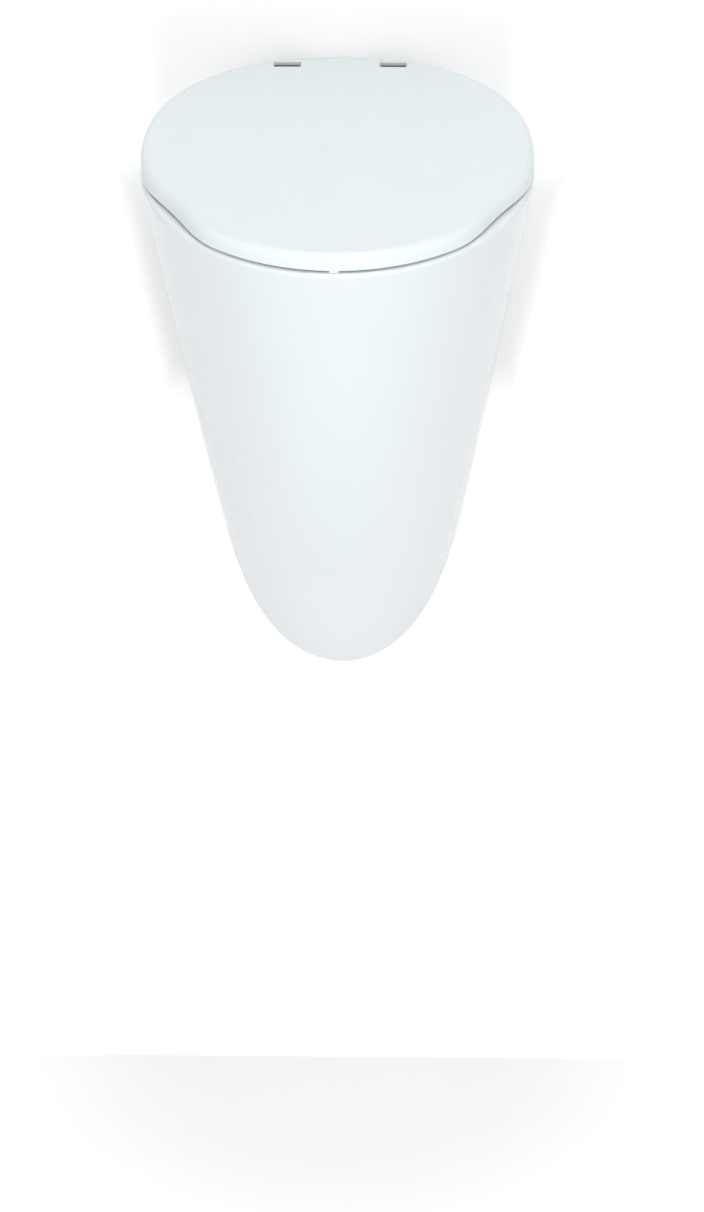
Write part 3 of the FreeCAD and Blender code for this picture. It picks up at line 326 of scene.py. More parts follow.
def moulded_material(name, colour, roughness, spread=0.012, wave_height=0.00003, skin_height=0.000006):
    """Moulded plastic: a fine skin, faint flow marks and an even sheen."""
    material, tree, shader = new_material(name)
    surface = use_group(tree, "surface_waviness", build_surface_waviness,
                        wave_size=0.04, wave_height=wave_height, skin_size=0.0012, skin_height=skin_height)
    tint_with(tree, shader, surface.outputs["Variation"], colour, spread)
    vary_roughness(tree, shader, surface.outputs["Variation"], roughness * 0.95, roughness * 1.05)
    tree.links.new(surface.outputs["Normal"], shader.inputs["Normal"])
    shader.inputs["IOR"].default_value = PLASTIC_IOR
    return material


def rubber_material(name, colour, roughness=0.62):
    """Soft rubber with a fine grain and a faint bloom."""
    material, tree, shader = new_material(name)
    surface = use_group(tree, "surface_waviness", build_surface_waviness,
                        wave_size=0.008, wave_height=0.00002, skin_size=0.0006, skin_height=0.00001)
    tint_with(tree, shader, surface.outputs["Variation"], colour, RUBBER_DRIFT)
    vary_roughness(tree, shader, surface.outputs["Variation"], roughness * 0.92, roughness * 1.08)
    tree.links.new(surface.outputs["Normal"], shader.inputs["Normal"])
    shader.inputs["Specular IOR Level"].default_value = RUBBER_GLOSS
    return material


def metal_material(name, colour, low, high, line_height=0.000006):
    """Brushed, turned or rolled metal."""
    material, tree, shader = new_material(name)
    lines = use_group(tree, "brushed_lines", build_brushed_lines, line_height=line_height)
    tint_with(tree, shader, lines.outputs["Lines"], colour, METAL_DRIFT)
    vary_roughness(tree, shader, lines.outputs["Lines"], low, high)
    tree.links.new(lines.outputs["Normal"], shader.inputs["Normal"])
    shader.inputs["Metallic"].default_value = 1.0
    return material


def zinc_material():
    """Hot galvanised sheet with its pattern of frost-like crystals."""
    material, tree, shader = new_material("galvanised_sheet")
    crystals = use_group(tree, "zinc_crystals", build_zinc_crystals)
    tint_with(tree, shader, crystals.outputs["Crystals"], ZINC, ZINC_DRIFT)
    vary_roughness(tree, shader, crystals.outputs["Crystals"], 0.30, 0.52)
    tree.links.new(crystals.outputs["Normal"], shader.inputs["Normal"])
    shader.inputs["Metallic"].default_value = 1.0
    return material


# ---------------------------------------------------------------- settings

class UrinalFinishes(bpy.types.PropertyGroup):
    """Colours of the finishes, as linear values."""

    glaze_colour: FloatVectorProperty(
        name="Glaze", description="Colour of the china under its glaze",
        default=(0.82, 0.88, 0.91), size=3, min=0.0, max=1.0, subtype="COLOR")
    bisque_colour: FloatVectorProperty(
        name="Bare china", description="Colour of the unglazed edge against the wall",
        default=(0.72, 0.68, 0.60), size=3, min=0.0, max=1.0, subtype="COLOR")
    lid_colour: FloatVectorProperty(
        name="Lid", description="Colour of the lid's plastic",
        default=(0.83, 0.895, 0.92), size=3, min=0.0, max=1.0, subtype="COLOR")
    buffer_colour: FloatVectorProperty(
        name="Buffers", description="Colour of the lid's soft stops",
        default=(0.84, 0.87, 0.87), size=3, min=0.0, max=1.0, subtype="COLOR")
    pipe_colour: FloatVectorProperty(
        name="Pipe plastic", description="Colour of the trap and the inlet connector",
        default=(0.62, 0.63, 0.64), size=3, min=0.0, max=1.0, subtype="COLOR")
    nylon_colour: FloatVectorProperty(
        name="Nylon", description="Colour of sleeves and wing nuts",
        default=(0.70, 0.69, 0.64), size=3, min=0.0, max=1.0, subtype="COLOR")


class UrinalFittings(bpy.types.PropertyGroup):
    """Sizes of the details that the fittings get on top of the plain solids."""

    rubber_round: FloatProperty(
        name="Rubber rounding", description="Rounding of the edges of soft pieces",
        default=0.0011, min=0.0, unit="LENGTH")
    sheet_round: FloatProperty(
        name="Sheet rounding", description="Rounding of the edges of sheet metal",
        default=0.0006, min=0.0, unit="LENGTH")
    plastic_round: FloatProperty(
        name="Plastic rounding", description="Rounding of the edges of moulded and turned pieces",
        default=0.0005, min=0.0, unit="LENGTH")
    thread_pitch: FloatProperty(
        name="Thread pitch", description="Pitch of the thread of the hinge studs",
        default=0.001, min=0.0005, unit="LENGTH")
    thread_depth: FloatProperty(
        name="Thread depth", description="Depth of the thread of the hinge studs",
        default=0.0006, min=0.0, unit="LENGTH")
    rim_slope: FloatProperty(
        name="Rim slope", description="Angle at which the rim and the lid fall to the front",
        default=math.radians(10.6), subtype="ANGLE")
    grip_ribs: IntProperty(
        name="Grip ribs", description="Ribs round the union nut of the trap",
        default=20, min=6)


class UrinalStudio(bpy.types.PropertyGroup):
    """The room, the lamps and the camera."""

    floor_drop: FloatProperty(
        name="Floor", description="Depth of the floor below the hanger holes",
        default=0.994, unit="LENGTH")
    top_power: FloatProperty(
        name="Top lamp power", description="Power of the large soft lamp above and in front",
        default=24.5, min=0.0, unit="POWER")
    front_power: FloatProperty(
        name="Front lamp power", description="Power of the wide lamp in front of the body",
        default=17.2, min=0.0, unit="POWER")
    sky: FloatProperty(
        name="Sky", description="Strength of the even light from all round",
        default=0.61, min=0.0)
    # Lift next to the object's sides, where the wall gets its painted shadow; beyond it the wall gets more.
    painted_shadow_lift: FloatProperty(
        name="Wall lift", description="White that the camera sees in the wall on top of its light",
        default=0.195, min=0.0)
    camera_side: FloatProperty(
        name="Camera side", description="How far the camera stands to the right",
        default=0.0452, unit="LENGTH")
    camera_distance: FloatProperty(
        name="Camera distance", description="Distance of the camera from the wall",
        default=2.563, unit="LENGTH")
    camera_height: FloatProperty(
        name="Camera height", description="Height of the camera above the hanger holes",
        default=0.9655, unit="LENGTH")
    camera_pitch: FloatProperty(
        name="Camera pitch", description="How far the camera looks down",
        default=math.radians(28.38), subtype="ANGLE")
    camera_turn: FloatProperty(
        name="Camera turn", description="How far the camera is turned to the left",
        default=math.radians(0.78), subtype="ANGLE")
    focal_length: FloatProperty(
        name="Focal length", description="Focal length, in millimetres, on a sensor 36 mm wide",
        default=145.33, min=1.0)


def finishes():
    return bpy.context.scene.urinal_finishes


def fittings():
    return bpy.context.scene.urinal_fittings


def studio():
    return bpy.context.scene.urinal_studio


# ---------------------------------------------------------------- modelling

WELD = 0.000005             # metres: vertices of a copied solid closer than this are one
SMOOTH_ANGLE = math.radians(35)
SHARP_ANGLE = math.radians(38)
FLAT_ANGLE = math.radians(0.2)


def select_only(piece):
    """Selects one piece and makes it the active one."""
    for other in bpy.context.selected_objects:
        other.select_set(False)
    piece.select_set(True)
    bpy.context.view_layer.objects.active = piece


def put_on(piece, body, material, slot, *nodes):
    """Gives a finished piece its material and its body, and hides the solids that it stands for; the slot
    is not used.
    """
    piece.data.materials.clear()
    piece.data.materials.append(material)
    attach(piece, body)
    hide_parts(*nodes)
    return piece


def welded_copy(node):
    """A copy of a solid as one closed mesh, with its flat faces whole."""
    piece = bpy.data.objects.new(node + "_finished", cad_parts[node].data.copy())
    bpy.context.scene.collection.objects.link(piece)
    select_only(piece)
    bpy.ops.object.mode_set(mode="EDIT")
    bpy.ops.mesh.select_all(action="SELECT")
    bpy.ops.mesh.customdata_custom_splitnormals_clear()
    bpy.ops.mesh.remove_doubles(threshold=WELD)
    bpy.ops.mesh.dissolve_limited(angle_limit=FLAT_ANGLE)
    bpy.ops.object.mode_set(mode="OBJECT")
    return piece


def rounded(piece, width, segments=2):
    """Rounds a piece's sharp edges, as moulding, stamping or deburring leaves them."""
    select_only(piece)
    bevel = piece.modifiers.new("rounding", "BEVEL")
    bevel.width = width
    bevel.segments = segments
    bevel.limit_method = "ANGLE"
    bevel.angle_limit = SHARP_ANGLE
    bpy.ops.object.modifier_apply(modifier=bevel.name)
    bpy.ops.object.shade_smooth_by_angle(angle=SMOOTH_ANGLE)
    return piece


def turned(name, profile, place, tilt, steps=32):
    """A turned piece: a vertex is drawn along (radius, height) points and spun round its axis.

    The axis starts at place and leans forward of upright by tilt; the profile starts and ends on it.
    """
    bpy.ops.object.select_all(action="DESELECT")
    bpy.ops.mesh.primitive_plane_add(size=profile[1][0])
    piece = bpy.context.object
    piece.name = name
    bpy.ops.object.mode_set(mode="EDIT")
    bpy.ops.mesh.select_all(action="SELECT")
    bpy.ops.mesh.merge(type="CENTER")
    bpy.ops.transform.translate(value=(profile[0][0], 0.0, profile[0][1]))
    for (r0, h0), (r1, h1) in zip(profile, profile[1:]):
        bpy.ops.mesh.extrude_region_move(TRANSFORM_OT_translate={"value": (r1 - r0, 0.0, h1 - h0)})
    bpy.ops.mesh.select_all(action="SELECT")
    bpy.ops.mesh.spin(steps=steps, angle=2 * math.pi, center=(0.0, 0.0, 0.0), axis=(0.0, 0.0, 1.0))
    bpy.ops.mesh.select_all(action="SELECT")
    bpy.ops.mesh.remove_doubles(threshold=WELD)
    bpy.ops.mesh.normals_make_consistent(inside=False)
    bpy.ops.object.mode_set(mode="OBJECT")
    piece.data.transform(Matrix.Translation(place) @ Matrix.Rotation(tilt, 4, "X"))
    select_only(piece)
    bpy.ops.object.shade_smooth_by_angle(angle=SMOOTH_ANGLE)
    return piece


def joined(name, pieces):
    """One object from several."""
    select_only(pieces[0])
    for piece in pieces[1:]:
        piece.select_set(True)
    bpy.ops.object.join()
    pieces[0].name = name
    return pieces[0]


def finish_nodes(material, *names):
    """Gives carried-over pieces their material."""
    for name in names:
        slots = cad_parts[name].data.materials
        slots.clear()
        slots.append(material)


# ---------------------------------------------------------------- pieces

class URINAL_OT_ceramic(bpy.types.Operator):
    """Glazes the china body"""

    bl_idname = "urinal.ceramic"
    bl_label = "China body"

    def execute(self, context):
        finish_nodes(glaze_material(finishes()), "ceramic_body")
        return {"FINISHED"}


class URINAL_OT_lid(bpy.types.Operator):
    """Finishes the moulded lid"""

    bl_idname = "urinal.lid"
    bl_label = "Lid"

    def execute(self, context):
        plastic = moulded_material("lid_plastic", finishes().lid_colour, 0.24, spread=0.003,
                                   wave_height=0.00001, skin_height=0.0000008)
        finish_nodes(plastic, "lid")
        return {"FINISHED"}


class URINAL_OT_buffers(bpy.types.Operator):
    """Rounds the soft stops under the lid"""

    bl_idname = "urinal.buffers"
    bl_label = "Lid buffers"

    def execute(self, context):
        soft = rubber_material("buffer_rubber", finishes().buffer_colour)
        for node in ("lid_buffer_front", "lid_buffers_side", "lid_buffers_rear"):
            stop = rounded(welded_copy(node), fittings().rubber_round, 3)
            put_on(stop, "lid", soft, "buffer_rubber", node)
        return {"FINISHED"}


STUD_RADIUS = 0.003         # metres, as the solids
THREAD_CREST = (0.4, 0.6)   # where a crest starts and ends, as a share of the pitch


def thread_profile(radius, length, pitch, depth):
    """Outline of a threaded rod from end to end, with a chamfer at each end."""
    points = [(0.0, 0.0), (radius - depth, 0.0)]
    turns = int(length / pitch) - 1
    start = (length - turns * pitch) / 2
    for turn in range(turns):
        foot = start + turn * pitch
        points.append((radius - depth, foot))
        points += [(radius, foot + pitch * share) for share in THREAD_CREST]
    return points + [(radius - depth, start + turns * pitch), (radius - depth, length), (0.0, length)]


class URINAL_OT_hinges(bpy.types.Operator):
    """Finishes the hinge posts, dampers and pins"""

    bl_idname = "urinal.hinges"
    bl_label = "Hinges"

    def execute(self, context):
        sizes = fittings()
        # The hinge metal is dark metal made darker to paint the shade down the lid's slots.
        dark = metal_material("hinge_metal", DARK_METAL_AND_SLOT_SHADE, 0.30, 0.42)
        steel = metal_material("stainless_steel", STEEL, 0.22, 0.38)
        damper = moulded_material("damper_plastic", BLACK_PLASTIC, 0.5)
        for node in ("hinge_post_left", "hinge_post_right"):
            put_on(rounded(welded_copy(node), sizes.plastic_round), "urinal", dark, "hinge_metal", node)
        finish_nodes(damper, "hinge_damper_left", "hinge_damper_right")
        finish_nodes(steel, "hinge_pin_left", "hinge_pin_right", "hinge_pin_grub_screws")
        return {"FINISHED"}


def stud_places(slope):
    """Lower ends of the two hinge studs, and their length, from the box round the solids."""
    low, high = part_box("hinge_studs")
    up = Vector((0.0, -math.sin(slope), math.cos(slope)))
    spread = STUD_RADIUS * math.cos(slope)
    foot = Vector((0.0, high.y - spread, low.z + STUD_RADIUS * math.sin(slope)))
    length = (high.z - low.z - 2 * STUD_RADIUS * math.sin(slope)) / math.cos(slope)
    return [foot + Vector((x, 0.0, 0.0)) for x in (low.x + STUD_RADIUS, high.x - STUD_RADIUS)], up, length


class URINAL_OT_hinge_fixings(bpy.types.Operator):
    """Threads the hinge studs and finishes their washers and wing nuts"""

    bl_idname = "urinal.hinge_fixings"
    bl_label = "Hinge fixings"

    def execute(self, context):
        sizes = fittings()
        steel = metal_material("stud_steel", STEEL, 0.22, 0.38)
        nylon = moulded_material("wing_nut_nylon", finishes().nylon_colour, 0.42)
        feet, up, length = stud_places(sizes.rim_slope)
        profile = thread_profile(STUD_RADIUS, length, sizes.thread_pitch, sizes.thread_depth)
        studs = [turned("hinge_stud", profile, foot, sizes.rim_slope) for foot in feet]
        put_on(joined("hinge_studs_threaded", studs), "urinal", steel, "steel", "hinge_studs")
        nuts = rounded(welded_copy("hinge_wing_nuts"), sizes.plastic_round)
        put_on(nuts, "urinal", nylon, "nylon", "hinge_wing_nuts")
        washers = rounded(welded_copy("hinge_washers"), sizes.plastic_round / 2)
        put_on(washers, "urinal", steel, "steel", "hinge_washers")
        return {"FINISHED"}


class URINAL_OT_wall_fixings(bpy.types.Operator):
    """Finishes the wall hooks, the angles, the side screws and their caps"""

    bl_idname = "urinal.wall_fixings"
    bl_label = "Wall fixings"

    def execute(self, context):
        sizes = fittings()
        zinc = zinc_material()
        steel = metal_material("screw_steel", STEEL, 0.20, 0.34)
        nylon = moulded_material("sleeve_nylon", finishes().nylon_colour, 0.42)
        cap = moulded_material("cap_plastic", finishes().lid_colour, 0.22, spread=0.004)
        for node in ("wall_hanger_left", "wall_hanger_right", "side_angle_left", "side_angle_right"):
            put_on(rounded(welded_copy(node), sizes.sheet_round), "urinal", zinc, "galvanised_steel", node)
        screws = rounded(welded_copy("side_clamp_screws"), sizes.plastic_round)
        put_on(screws, "urinal", steel, "steel", "side_clamp_screws")
        finish_nodes(nylon, "side_screw_sleeves")
        finish_nodes(cap, "side_screw_caps")
        return {"FINISHED"}


class URINAL_OT_inlet(bpy.types.Operator):
    """Finishes the flush spreader, its nut and the connector to the supply"""

    bl_idname = "urinal.inlet"
    bl_label = "Flush inlet"

    def execute(self, context):
        sizes = fittings()
        chrome = metal_material("spreader_chrome", CHROME, 0.04, 0.09, line_height=0.000001)
        brass = metal_material("brass", BRASS, 0.22, 0.36)
        pipe = moulded_material("connector_plastic", finishes().pipe_colour, 0.38)
        finish_nodes(chrome, "flush_spreader")
        nut = rounded(welded_copy("inlet_lock_nut"), sizes.plastic_round)
        put_on(nut, "urinal", brass, "brass", "inlet_lock_nut")
        finish_nodes(pipe, "inlet_connector")
        return {"FINISHED"}


RIB_WIDTH = 0.002           # metres
RIB_HEIGHT = 0.0012
RIB_RISE = 0.72             # length of a rib's straight part, as a share of the nut's height
RIB_END = 0.9               # length of its sloping end, as a share of its height
RIB_ROUND = 0.3             # rounding of its edges, as a share of its width
RIB_OUT = 0.1               # how far its middle lies inside the nut's face, as a share of its height
RIB_DRAFT = (0.45, 0.7, 1.0)


def union_ribs(node, count, width, height):
    """Upright grip ribs round a cap nut: one bar with drawn-in ends, copied round the nut's axis."""
    low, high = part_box(node)
    centre = (low + high) / 2
    radius = (high.x - low.x) / 2
    rise = (high.z - low.z) * RIB_RISE
    bpy.ops.object.select_all(action="DESELECT")
    bpy.ops.mesh.primitive_cube_add(size=1.0)
    bar = bpy.context.object
    bar.name = "grip_rib"
    bar.data.transform(Matrix.Diagonal((height, width, rise, 1.0)))
    draw_in_ends(bar, rise / 2, height * RIB_END)
    rounded(bar, width * RIB_ROUND, 3)
    outwards = Matrix.Translation((radius - height * RIB_OUT, 0.0, 0.0))
    ribs = []
    for k in range(count):
        rib = bar.copy()
        rib.data = bar.data.copy()
        bpy.context.scene.collection.objects.link(rib)
        turn = Matrix.Rotation(2 * math.pi * k / count, 4, "Z")
        rib.data.transform(Matrix.Translation(centre) @ turn @ outwards)
        ribs.append(rib)
    bpy.data.objects.remove(bar)
    return ribs


def draw_in_ends(bar, half, length):
    """Adds a sloping step at both ends of an upright bar, as a mould needs to let go of it."""
    select_only(bar)
    for end in (-1.0, 1.0):
        bpy.ops.object.mode_set(mode="EDIT")
        bpy.ops.mesh.select_all(action="DESELECT")
        bpy.ops.object.mode_set(mode="OBJECT")
        for face in bar.data.polygons:
            face.select = face.normal.z * end > 0.9 and abs(face.center.z - end * half) < WELD
        bpy.ops.object.mode_set(mode="EDIT")
        bpy.ops.mesh.select_mode(type="FACE")
        bpy.ops.mesh.extrude_region_move(TRANSFORM_OT_translate={"value": (0.0, 0.0, end * length)})
        bpy.ops.transform.resize(value=RIB_DRAFT, center_override=(-bar.dimensions.x / 2, 0.0, 0.0))
        bpy.ops.object.mode_set(mode="OBJECT")


class URINAL_OT_waste(bpy.types.Operator):
    """Finishes the waste strainer, its flange and its nut"""

    bl_idname = "urinal.waste"
    bl_label = "Waste outlet"

    def execute(self, context):
        sizes = fittings()
        chrome = metal_material("strainer_chrome", CHROME, 0.06, 0.12, line_height=0.000002)
        pipe = moulded_material("waste_plastic", finishes().pipe_colour, 0.38)
        finish_nodes(chrome, "waste_strainer", "strainer_screw")
        finish_nodes(pipe, "waste_flange")
        nut = rounded(welded_copy("waste_lock_nut"), sizes.plastic_round)
        put_on(nut, "urinal", pipe, "pipe_plastic", "waste_lock_nut")
        return {"FINISHED"}


class URINAL_OT_trap(bpy.types.Operator):
    """Finishes the bottle trap and gives its union nut grip ribs"""

    bl_idname = "urinal.trap"
    bl_label = "Trap"

    def execute(self, context):
        sizes = fittings()
        pipe = moulded_material("trap_plastic", finishes().pipe_colour, 0.36)
        finish_nodes(pipe, "trap_body", "trap_dip_tube")
        nut = rounded(welded_copy("trap_union_nut"), sizes.plastic_round)
        ribs = union_ribs("trap_union_nut", sizes.grip_ribs, RIB_WIDTH, RIB_HEIGHT)
        ribbed = joined("trap_union_nut_ribbed", [nut] + ribs)
        put_on(ribbed, "urinal", pipe, "pipe_plastic", "trap_union_nut")
        return {"FINISHED"}


class URINAL_OT_seals(bpy.types.Operator):
    """Finishes the rubber seals, gaskets, bushes and pads"""

    bl_idname = "urinal.seals"
    bl_label = "Seals"

    def execute(self, context):
        rubber = rubber_material("seal_rubber", BLACK_RUBBER)
        finish_nodes(rubber, "hinge_foot_seals", "hinge_rubber_bushes", "spreader_gasket", "inlet_washer",
                     "inlet_lip_seal", "waste_flange_gasket", "waste_under_gasket", "trap_neck_seal",
                     "waste_socket_seal", "hanger_pads")
        return {"FINISHED"}


# ---------------------------------------------------------------- studio

WALL_BEHIND = 0.0008        # metres between the part's back and the backdrop
ROOM_HALF = 4.0
ROOM_TOP = 2.6
ROOM_FRONT = 5.0
# Painted fade of the light on the floor: its lift grows from the middle of the view to its edges, so the
# floor is painted lighter towards the edges.
FLOOR_LIFT = 0.245          # white that the camera sees on top of the floor's light, in the middle
FLOOR_LIFT_EDGE = 0.375     # and at the edges of the view
VIGNETTE_HALF = 0.44        # the grey of the floor fades to white this far to the sides
VIGNETTE_DEPTH = 0.42       # and this far out from the wall
VIGNETTE_START = 0.35       # and starts to fade at this share of both
# Painted shadow on the wall: the camera sees less lift close to the object's sides than beyond them, so the
# wall is painted darker there, on top of the real shadow that the lamps cast.
SIDE_AT_ORIGIN = 0.190      # half width of the object against the wall at the height of the origin
SIDE_TAPER = 0.210          # and how fast it grows with height
PAINTED_SHADOW_MIDDLE = -0.060      # height of the middle of the painted shadow
PAINTED_SHADOW_REACH = 0.075        # the painted shadow keeps its depth this far above and below its middle
PAINTED_SHADOW_SLACK = 0.4          # and fades this much slower upwards and downwards than to the sides
PAINTED_SHADOW_WIDTH = 0.030        # the painted shadow has faded this far from the object
WALL_ALBEDO = 0.68          # share of the light that the wall throws back
FLOOR_ALBEDO = 0.80
STAGE_ROUGHNESS = 0.9
WALL_FADE = 0.23            # lift that the wall gains beyond the painted shadow
OPENING_MIDDLE = -0.17      # the wall is open behind the object, so that its back gets light
OPENING_HALF = (0.138, 0.305)           # half width and half height of that oval opening
MIRRORED_LIFT = 0.6         # share of the room's lift that shows in glaze and metal
TOP_LAMP = {"place": (0.15, -1.6, 2.3), "target": (0.0, -0.15, 0.10), "width": 1.3, "height": 1.3}
FRONT_LAMP = {"place": (0.10, -2.35, -0.72), "target": (0.0, -0.16, -0.30), "width": 0.8, "height": 0.5}
SENSOR_WIDTH = 36.0         # millimetres
VIEW_LIMIT = 50.0


def seen_directly(tree, mirrored_share):
    """1 on a ray from the camera, and a share of it on one from a mirror or through glass."""
    path = add_node(tree, "ShaderNodeLightPath")
    seen = path.outputs["Is Camera Ray"]
    for name in ("Is Glossy Ray", "Is Transmission Ray"):
        share = add_node(tree, "ShaderNodeMath", operation="MULTIPLY")
        share.inputs[1].default_value = mirrored_share
        either = add_node(tree, "ShaderNodeMath", operation="MAXIMUM")
        tree.links.new(path.outputs[name], share.inputs[0])
        tree.links.new(share.outputs["Value"], either.inputs[1])
        tree.links.new(seen, either.inputs[0])
        seen = either.outputs["Value"]
    return seen


def stage_material(name, albedo):
    """A pale surface that takes shadows, clear from behind.

    Returns the material, its tree, the node of the lift that the camera sees, and the node that
    makes it clear, whose second input is free.
    """
    material, tree, shader = new_material(name)
    shader.inputs["Base Color"].default_value = (albedo, albedo, albedo, 1.0)
    shader.inputs["Roughness"].default_value = STAGE_ROUGHNESS
    shader.inputs["Specular IOR Level"].default_value = 0.0
    shader.inputs["Emission Color"].default_value = (1.0, 1.0, 1.0, 1.0)
    lift = add_node(tree, "ShaderNodeMath", operation="MULTIPLY")
    tree.links.new(seen_directly(tree, MIRRORED_LIFT), lift.inputs[0])
    tree.links.new(lift.outputs["Value"], shader.inputs["Emission Strength"])
    clear = add_node(tree, "ShaderNodeBsdfTransparent")
    side = add_node(tree, "ShaderNodeNewGeometry")
    opened = add_node(tree, "ShaderNodeMath", operation="MAXIMUM")
    opened.inputs[1].default_value = 0.0
    mix = add_node(tree, "ShaderNodeMixShader")
    output = tree.nodes["Material Output"]
    tree.links.new(side.outputs["Backfacing"], opened.inputs[0])
    tree.links.new(opened.outputs["Value"], mix.inputs["Fac"])
    tree.links.new(shader.outputs["BSDF"], mix.inputs[1])
    tree.links.new(clear.outputs["BSDF"], mix.inputs[2])
    tree.links.new(mix.outputs["Shader"], output.inputs["Surface"])
    return material, tree, lift, opened


def math_step(tree, operation, first, second):
    """One step of arithmetic; each side is a socket or a number."""
    step = add_node(tree, "ShaderNodeMath", operation=operation)
    for socket, value in zip(step.inputs, (first, second)):
        if isinstance(value, (int, float)):
            socket.default_value = value
        else:
            tree.links.new(value, socket)
    return step.outputs["Value"]


def wall_material(settings):
    """A white wall, open behind the object, whose lift is lowered close to the object's sides: a painted
    shadow there on top of the real one, which the higher lift washes out elsewhere.
    """
    material, tree, lift, opened = stage_material("room_wall", WALL_ALBEDO)
    place = add_node(tree, "ShaderNodeTexCoord")
    split = add_node(tree, "ShaderNodeSeparateXYZ")
    tree.links.new(place.outputs["Object"], split.inputs["Vector"])
    # Painted shadow: the lift is lowest next to the object's sides and grows with the distance from them.
    aside = math_step(tree, "ABSOLUTE", split.outputs["X"], 0.0)
    half = math_step(tree, "MULTIPLY_ADD", split.outputs["Z"], SIDE_TAPER)
    half.node.inputs[2].default_value = SIDE_AT_ORIGIN
    beside = math_step(tree, "SUBTRACT", aside, half)
    level = math_step(tree, "ABSOLUTE", math_step(tree, "SUBTRACT", split.outputs["Z"], PAINTED_SHADOW_MIDDLE), 0.0)
    over = math_step(tree, "SUBTRACT", level, PAINTED_SHADOW_REACH)
    away = math_step(tree, "MAXIMUM", beside, math_step(tree, "MULTIPLY", over, PAINTED_SHADOW_SLACK))
    fade = add_node(tree, "ShaderNodeMapRange", interpolation_type="SMOOTHSTEP")
    fade.inputs["From Max"].default_value = PAINTED_SHADOW_WIDTH
    fade.inputs["To Min"].default_value = settings.painted_shadow_lift
    fade.inputs["To Max"].default_value = settings.painted_shadow_lift + WALL_FADE
    tree.links.new(away, fade.inputs["Value"])
    tree.links.new(fade.outputs["Result"], lift.inputs[1])
    across = math_step(tree, "DIVIDE", split.outputs["X"], OPENING_HALF[0])
    upright = math_step(tree, "DIVIDE", math_step(tree, "SUBTRACT", split.outputs["Z"], OPENING_MIDDLE),
                        OPENING_HALF[1])
    squares = [math_step(tree, "MULTIPLY", part, part) for part in (across, upright)]
    inside = math_step(tree, "LESS_THAN", math_step(tree, "ADD", squares[0], squares[1]), 1.0)
    tree.links.new(inside, opened.inputs[1])
    return material


def floor_material():
    """A pale floor, painted a shade greyer in the middle of the view and lighter towards white round it:
    its lift grows from the middle to the edges.
    """
    material, tree, lift, _ = stage_material("room_floor", FLOOR_ALBEDO)
    place = add_node(tree, "ShaderNodeTexCoord")
    oval = add_node(tree, "ShaderNodeMapping", Scale=(1.0 / VIGNETTE_HALF, 1.0 / VIGNETTE_DEPTH, 0.0))
    radius = add_node(tree, "ShaderNodeVectorMath", operation="LENGTH")
    fade = add_node(tree, "ShaderNodeMapRange", interpolation_type="SMOOTHSTEP")
    fade.inputs["From Min"].default_value = VIGNETTE_START
    fade.inputs["From Max"].default_value = 1.0
    fade.inputs["To Min"].default_value = FLOOR_LIFT
    fade.inputs["To Max"].default_value = FLOOR_LIFT_EDGE
    tree.links.new(place.outputs["Object"], oval.inputs["Vector"])
    tree.links.new(oval.outputs["Vector"], radius.inputs[0])
    tree.links.new(radius.outputs["Value"], fade.inputs["Value"])
    tree.links.new(fade.outputs["Result"], lift.inputs[1])
    return material


def stage_sheet(name, size, place, turn, material):
    """One flat sheet of the room, its face turned into the room."""
    bpy.ops.object.select_all(action="DESELECT")
    bpy.ops.mesh.primitive_plane_add(size=1.0)
    sheet = bpy.context.object
    sheet.name = name
    stand = Matrix.Translation(place) @ Matrix.Rotation(turn, 4, "X")
    sheet.data.transform(stand @ Matrix.Diagonal((size[0], size[1], 1.0, 1.0)))
    sheet.data.materials.append(material)
    return sheet


def build_room(settings):
    """The wall just behind the object and the floor far below it."""
    floor = -settings.floor_drop
    height = ROOM_TOP - floor
    stage_sheet("room_wall", (2 * ROOM_HALF, height), Vector((0.0, WALL_BEHIND, floor + height / 2)),
                math.pi / 2, wall_material(settings))
    stage_sheet("room_floor", (2 * ROOM_HALF, ROOM_FRONT + WALL_BEHIND),
                Vector((0.0, (WALL_BEHIND - ROOM_FRONT) / 2, floor)), 0.0, floor_material())


def soft_lamp(name, power, place, target, width, height):
    """A rectangular lamp that faces its target."""
    bpy.ops.object.light_add(type="AREA", location=place)
    lit = bpy.context.object
    lit.name = name
    lit.rotation_euler = (Vector(target) - Vector(place)).to_track_quat("-Z", "Y").to_euler()
    lit.data.shape = "RECTANGLE"
    lit.data.size = width
    lit.data.size_y = height
    lit.data.energy = power
    return lit


def build_lamps(settings):
    """A lamp above, a lamp in front and even light from all round."""
    soft_lamp("lamp_top", settings.top_power, **TOP_LAMP)
    soft_lamp("lamp_front", settings.front_power, **FRONT_LAMP)
    world = bpy.data.worlds.new("studio")
    world.use_nodes = True
    tree = world.node_tree
    background = tree.nodes["Background"]
    background.inputs["Color"].default_value = (1.0, 1.0, 1.0, 1.0)
    level = add_node(tree, "ShaderNodeMapRange")
    level.inputs["To Min"].default_value = settings.sky
    level.inputs["To Max"].default_value = 1.0
    tree.links.new(seen_directly(tree, 1.0), level.inputs["Value"])
    tree.links.new(level.outputs["Result"], background.inputs["Strength"])
    bpy.context.scene.world = world


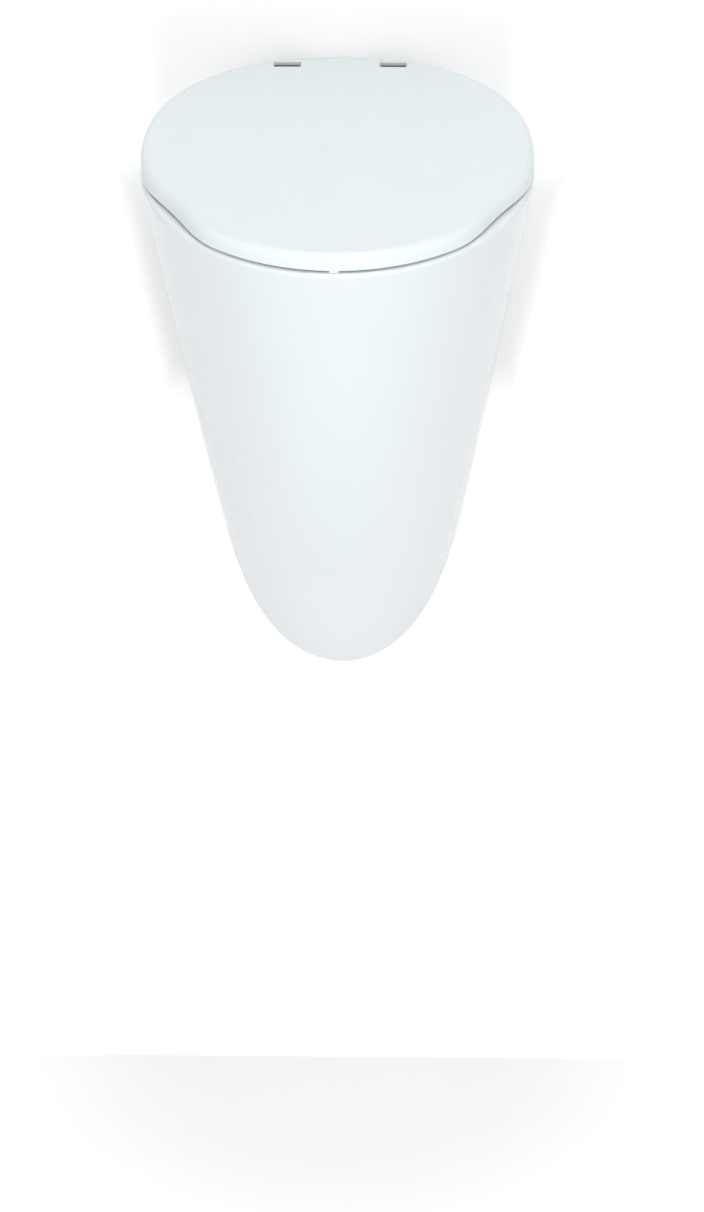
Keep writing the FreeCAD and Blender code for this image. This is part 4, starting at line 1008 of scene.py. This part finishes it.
def build_camera(settings):
    """The camera at the place and with the frame of the photograph."""
    bpy.ops.object.camera_add(
        location=(settings.camera_side, -settings.camera_distance, settings.camera_height),
        rotation=(math.pi / 2 - settings.camera_pitch, 0.0, settings.camera_turn))
    camera = bpy.context.object
    camera.name = "photo_camera"
    camera.data.sensor_fit = "HORIZONTAL"
    camera.data.sensor_width = SENSOR_WIDTH
    camera.data.lens = settings.focal_length
    camera.data.clip_end = VIEW_LIMIT
    bpy.context.scene.camera = camera


class URINAL_OT_studio(bpy.types.Operator):
    """Adds the wall, the floor, the lamps and the camera"""

    bl_idname = "urinal.studio"
    bl_label = "Studio"

    def execute(self, context):
        settings = studio()
        build_room(settings)
        build_lamps(settings)
        build_camera(settings)
        context.scene.view_settings.view_transform = "Standard"
        return {"FINISHED"}


# ---------------------------------------------------------------- panel and registration

class URINAL_PT_panel(bpy.types.Panel):
    """Lists the pieces of the urinal and the studio"""

    bl_label = "Wall hung urinal"
    bl_idname = "URINAL_PT_panel"
    bl_space_type = "VIEW_3D"
    bl_region_type = "UI"
    bl_category = "Urinal"

    def draw(self, context):
        column = self.layout.column(align=True)
        for operator in OPERATORS:
            column.operator(operator.bl_idname)
        for settings in (finishes(), fittings(), studio()):
            for name in settings.bl_rna.properties.keys():
                if name not in ("rna_type", "name"):
                    column.prop(settings, name)


OPERATORS = (
    URINAL_OT_ceramic,
    URINAL_OT_lid,
    URINAL_OT_buffers,
    URINAL_OT_hinges,
    URINAL_OT_hinge_fixings,
    URINAL_OT_wall_fixings,
    URINAL_OT_inlet,
    URINAL_OT_waste,
    URINAL_OT_trap,
    URINAL_OT_seals,
    URINAL_OT_studio,
)
CLASSES = (UrinalFinishes, UrinalFittings, UrinalStudio) + OPERATORS + (URINAL_PT_panel,)


def register():
    for cls in CLASSES:
        bpy.utils.register_class(cls)
    bpy.types.Scene.urinal_finishes = PointerProperty(type=UrinalFinishes)
    bpy.types.Scene.urinal_fittings = PointerProperty(type=UrinalFittings)
    bpy.types.Scene.urinal_studio = PointerProperty(type=UrinalStudio)


def unregister():
    del bpy.types.Scene.urinal_studio
    del bpy.types.Scene.urinal_fittings
    del bpy.types.Scene.urinal_finishes
    for cls in reversed(CLASSES):
        bpy.utils.unregister_class(cls)


def main():
    """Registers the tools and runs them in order."""
    register()
    for operator in OPERATORS:
        group, name = operator.bl_idname.split(".")
        getattr(getattr(bpy.ops, group), name)()


if __name__ == "__main__":
    main()
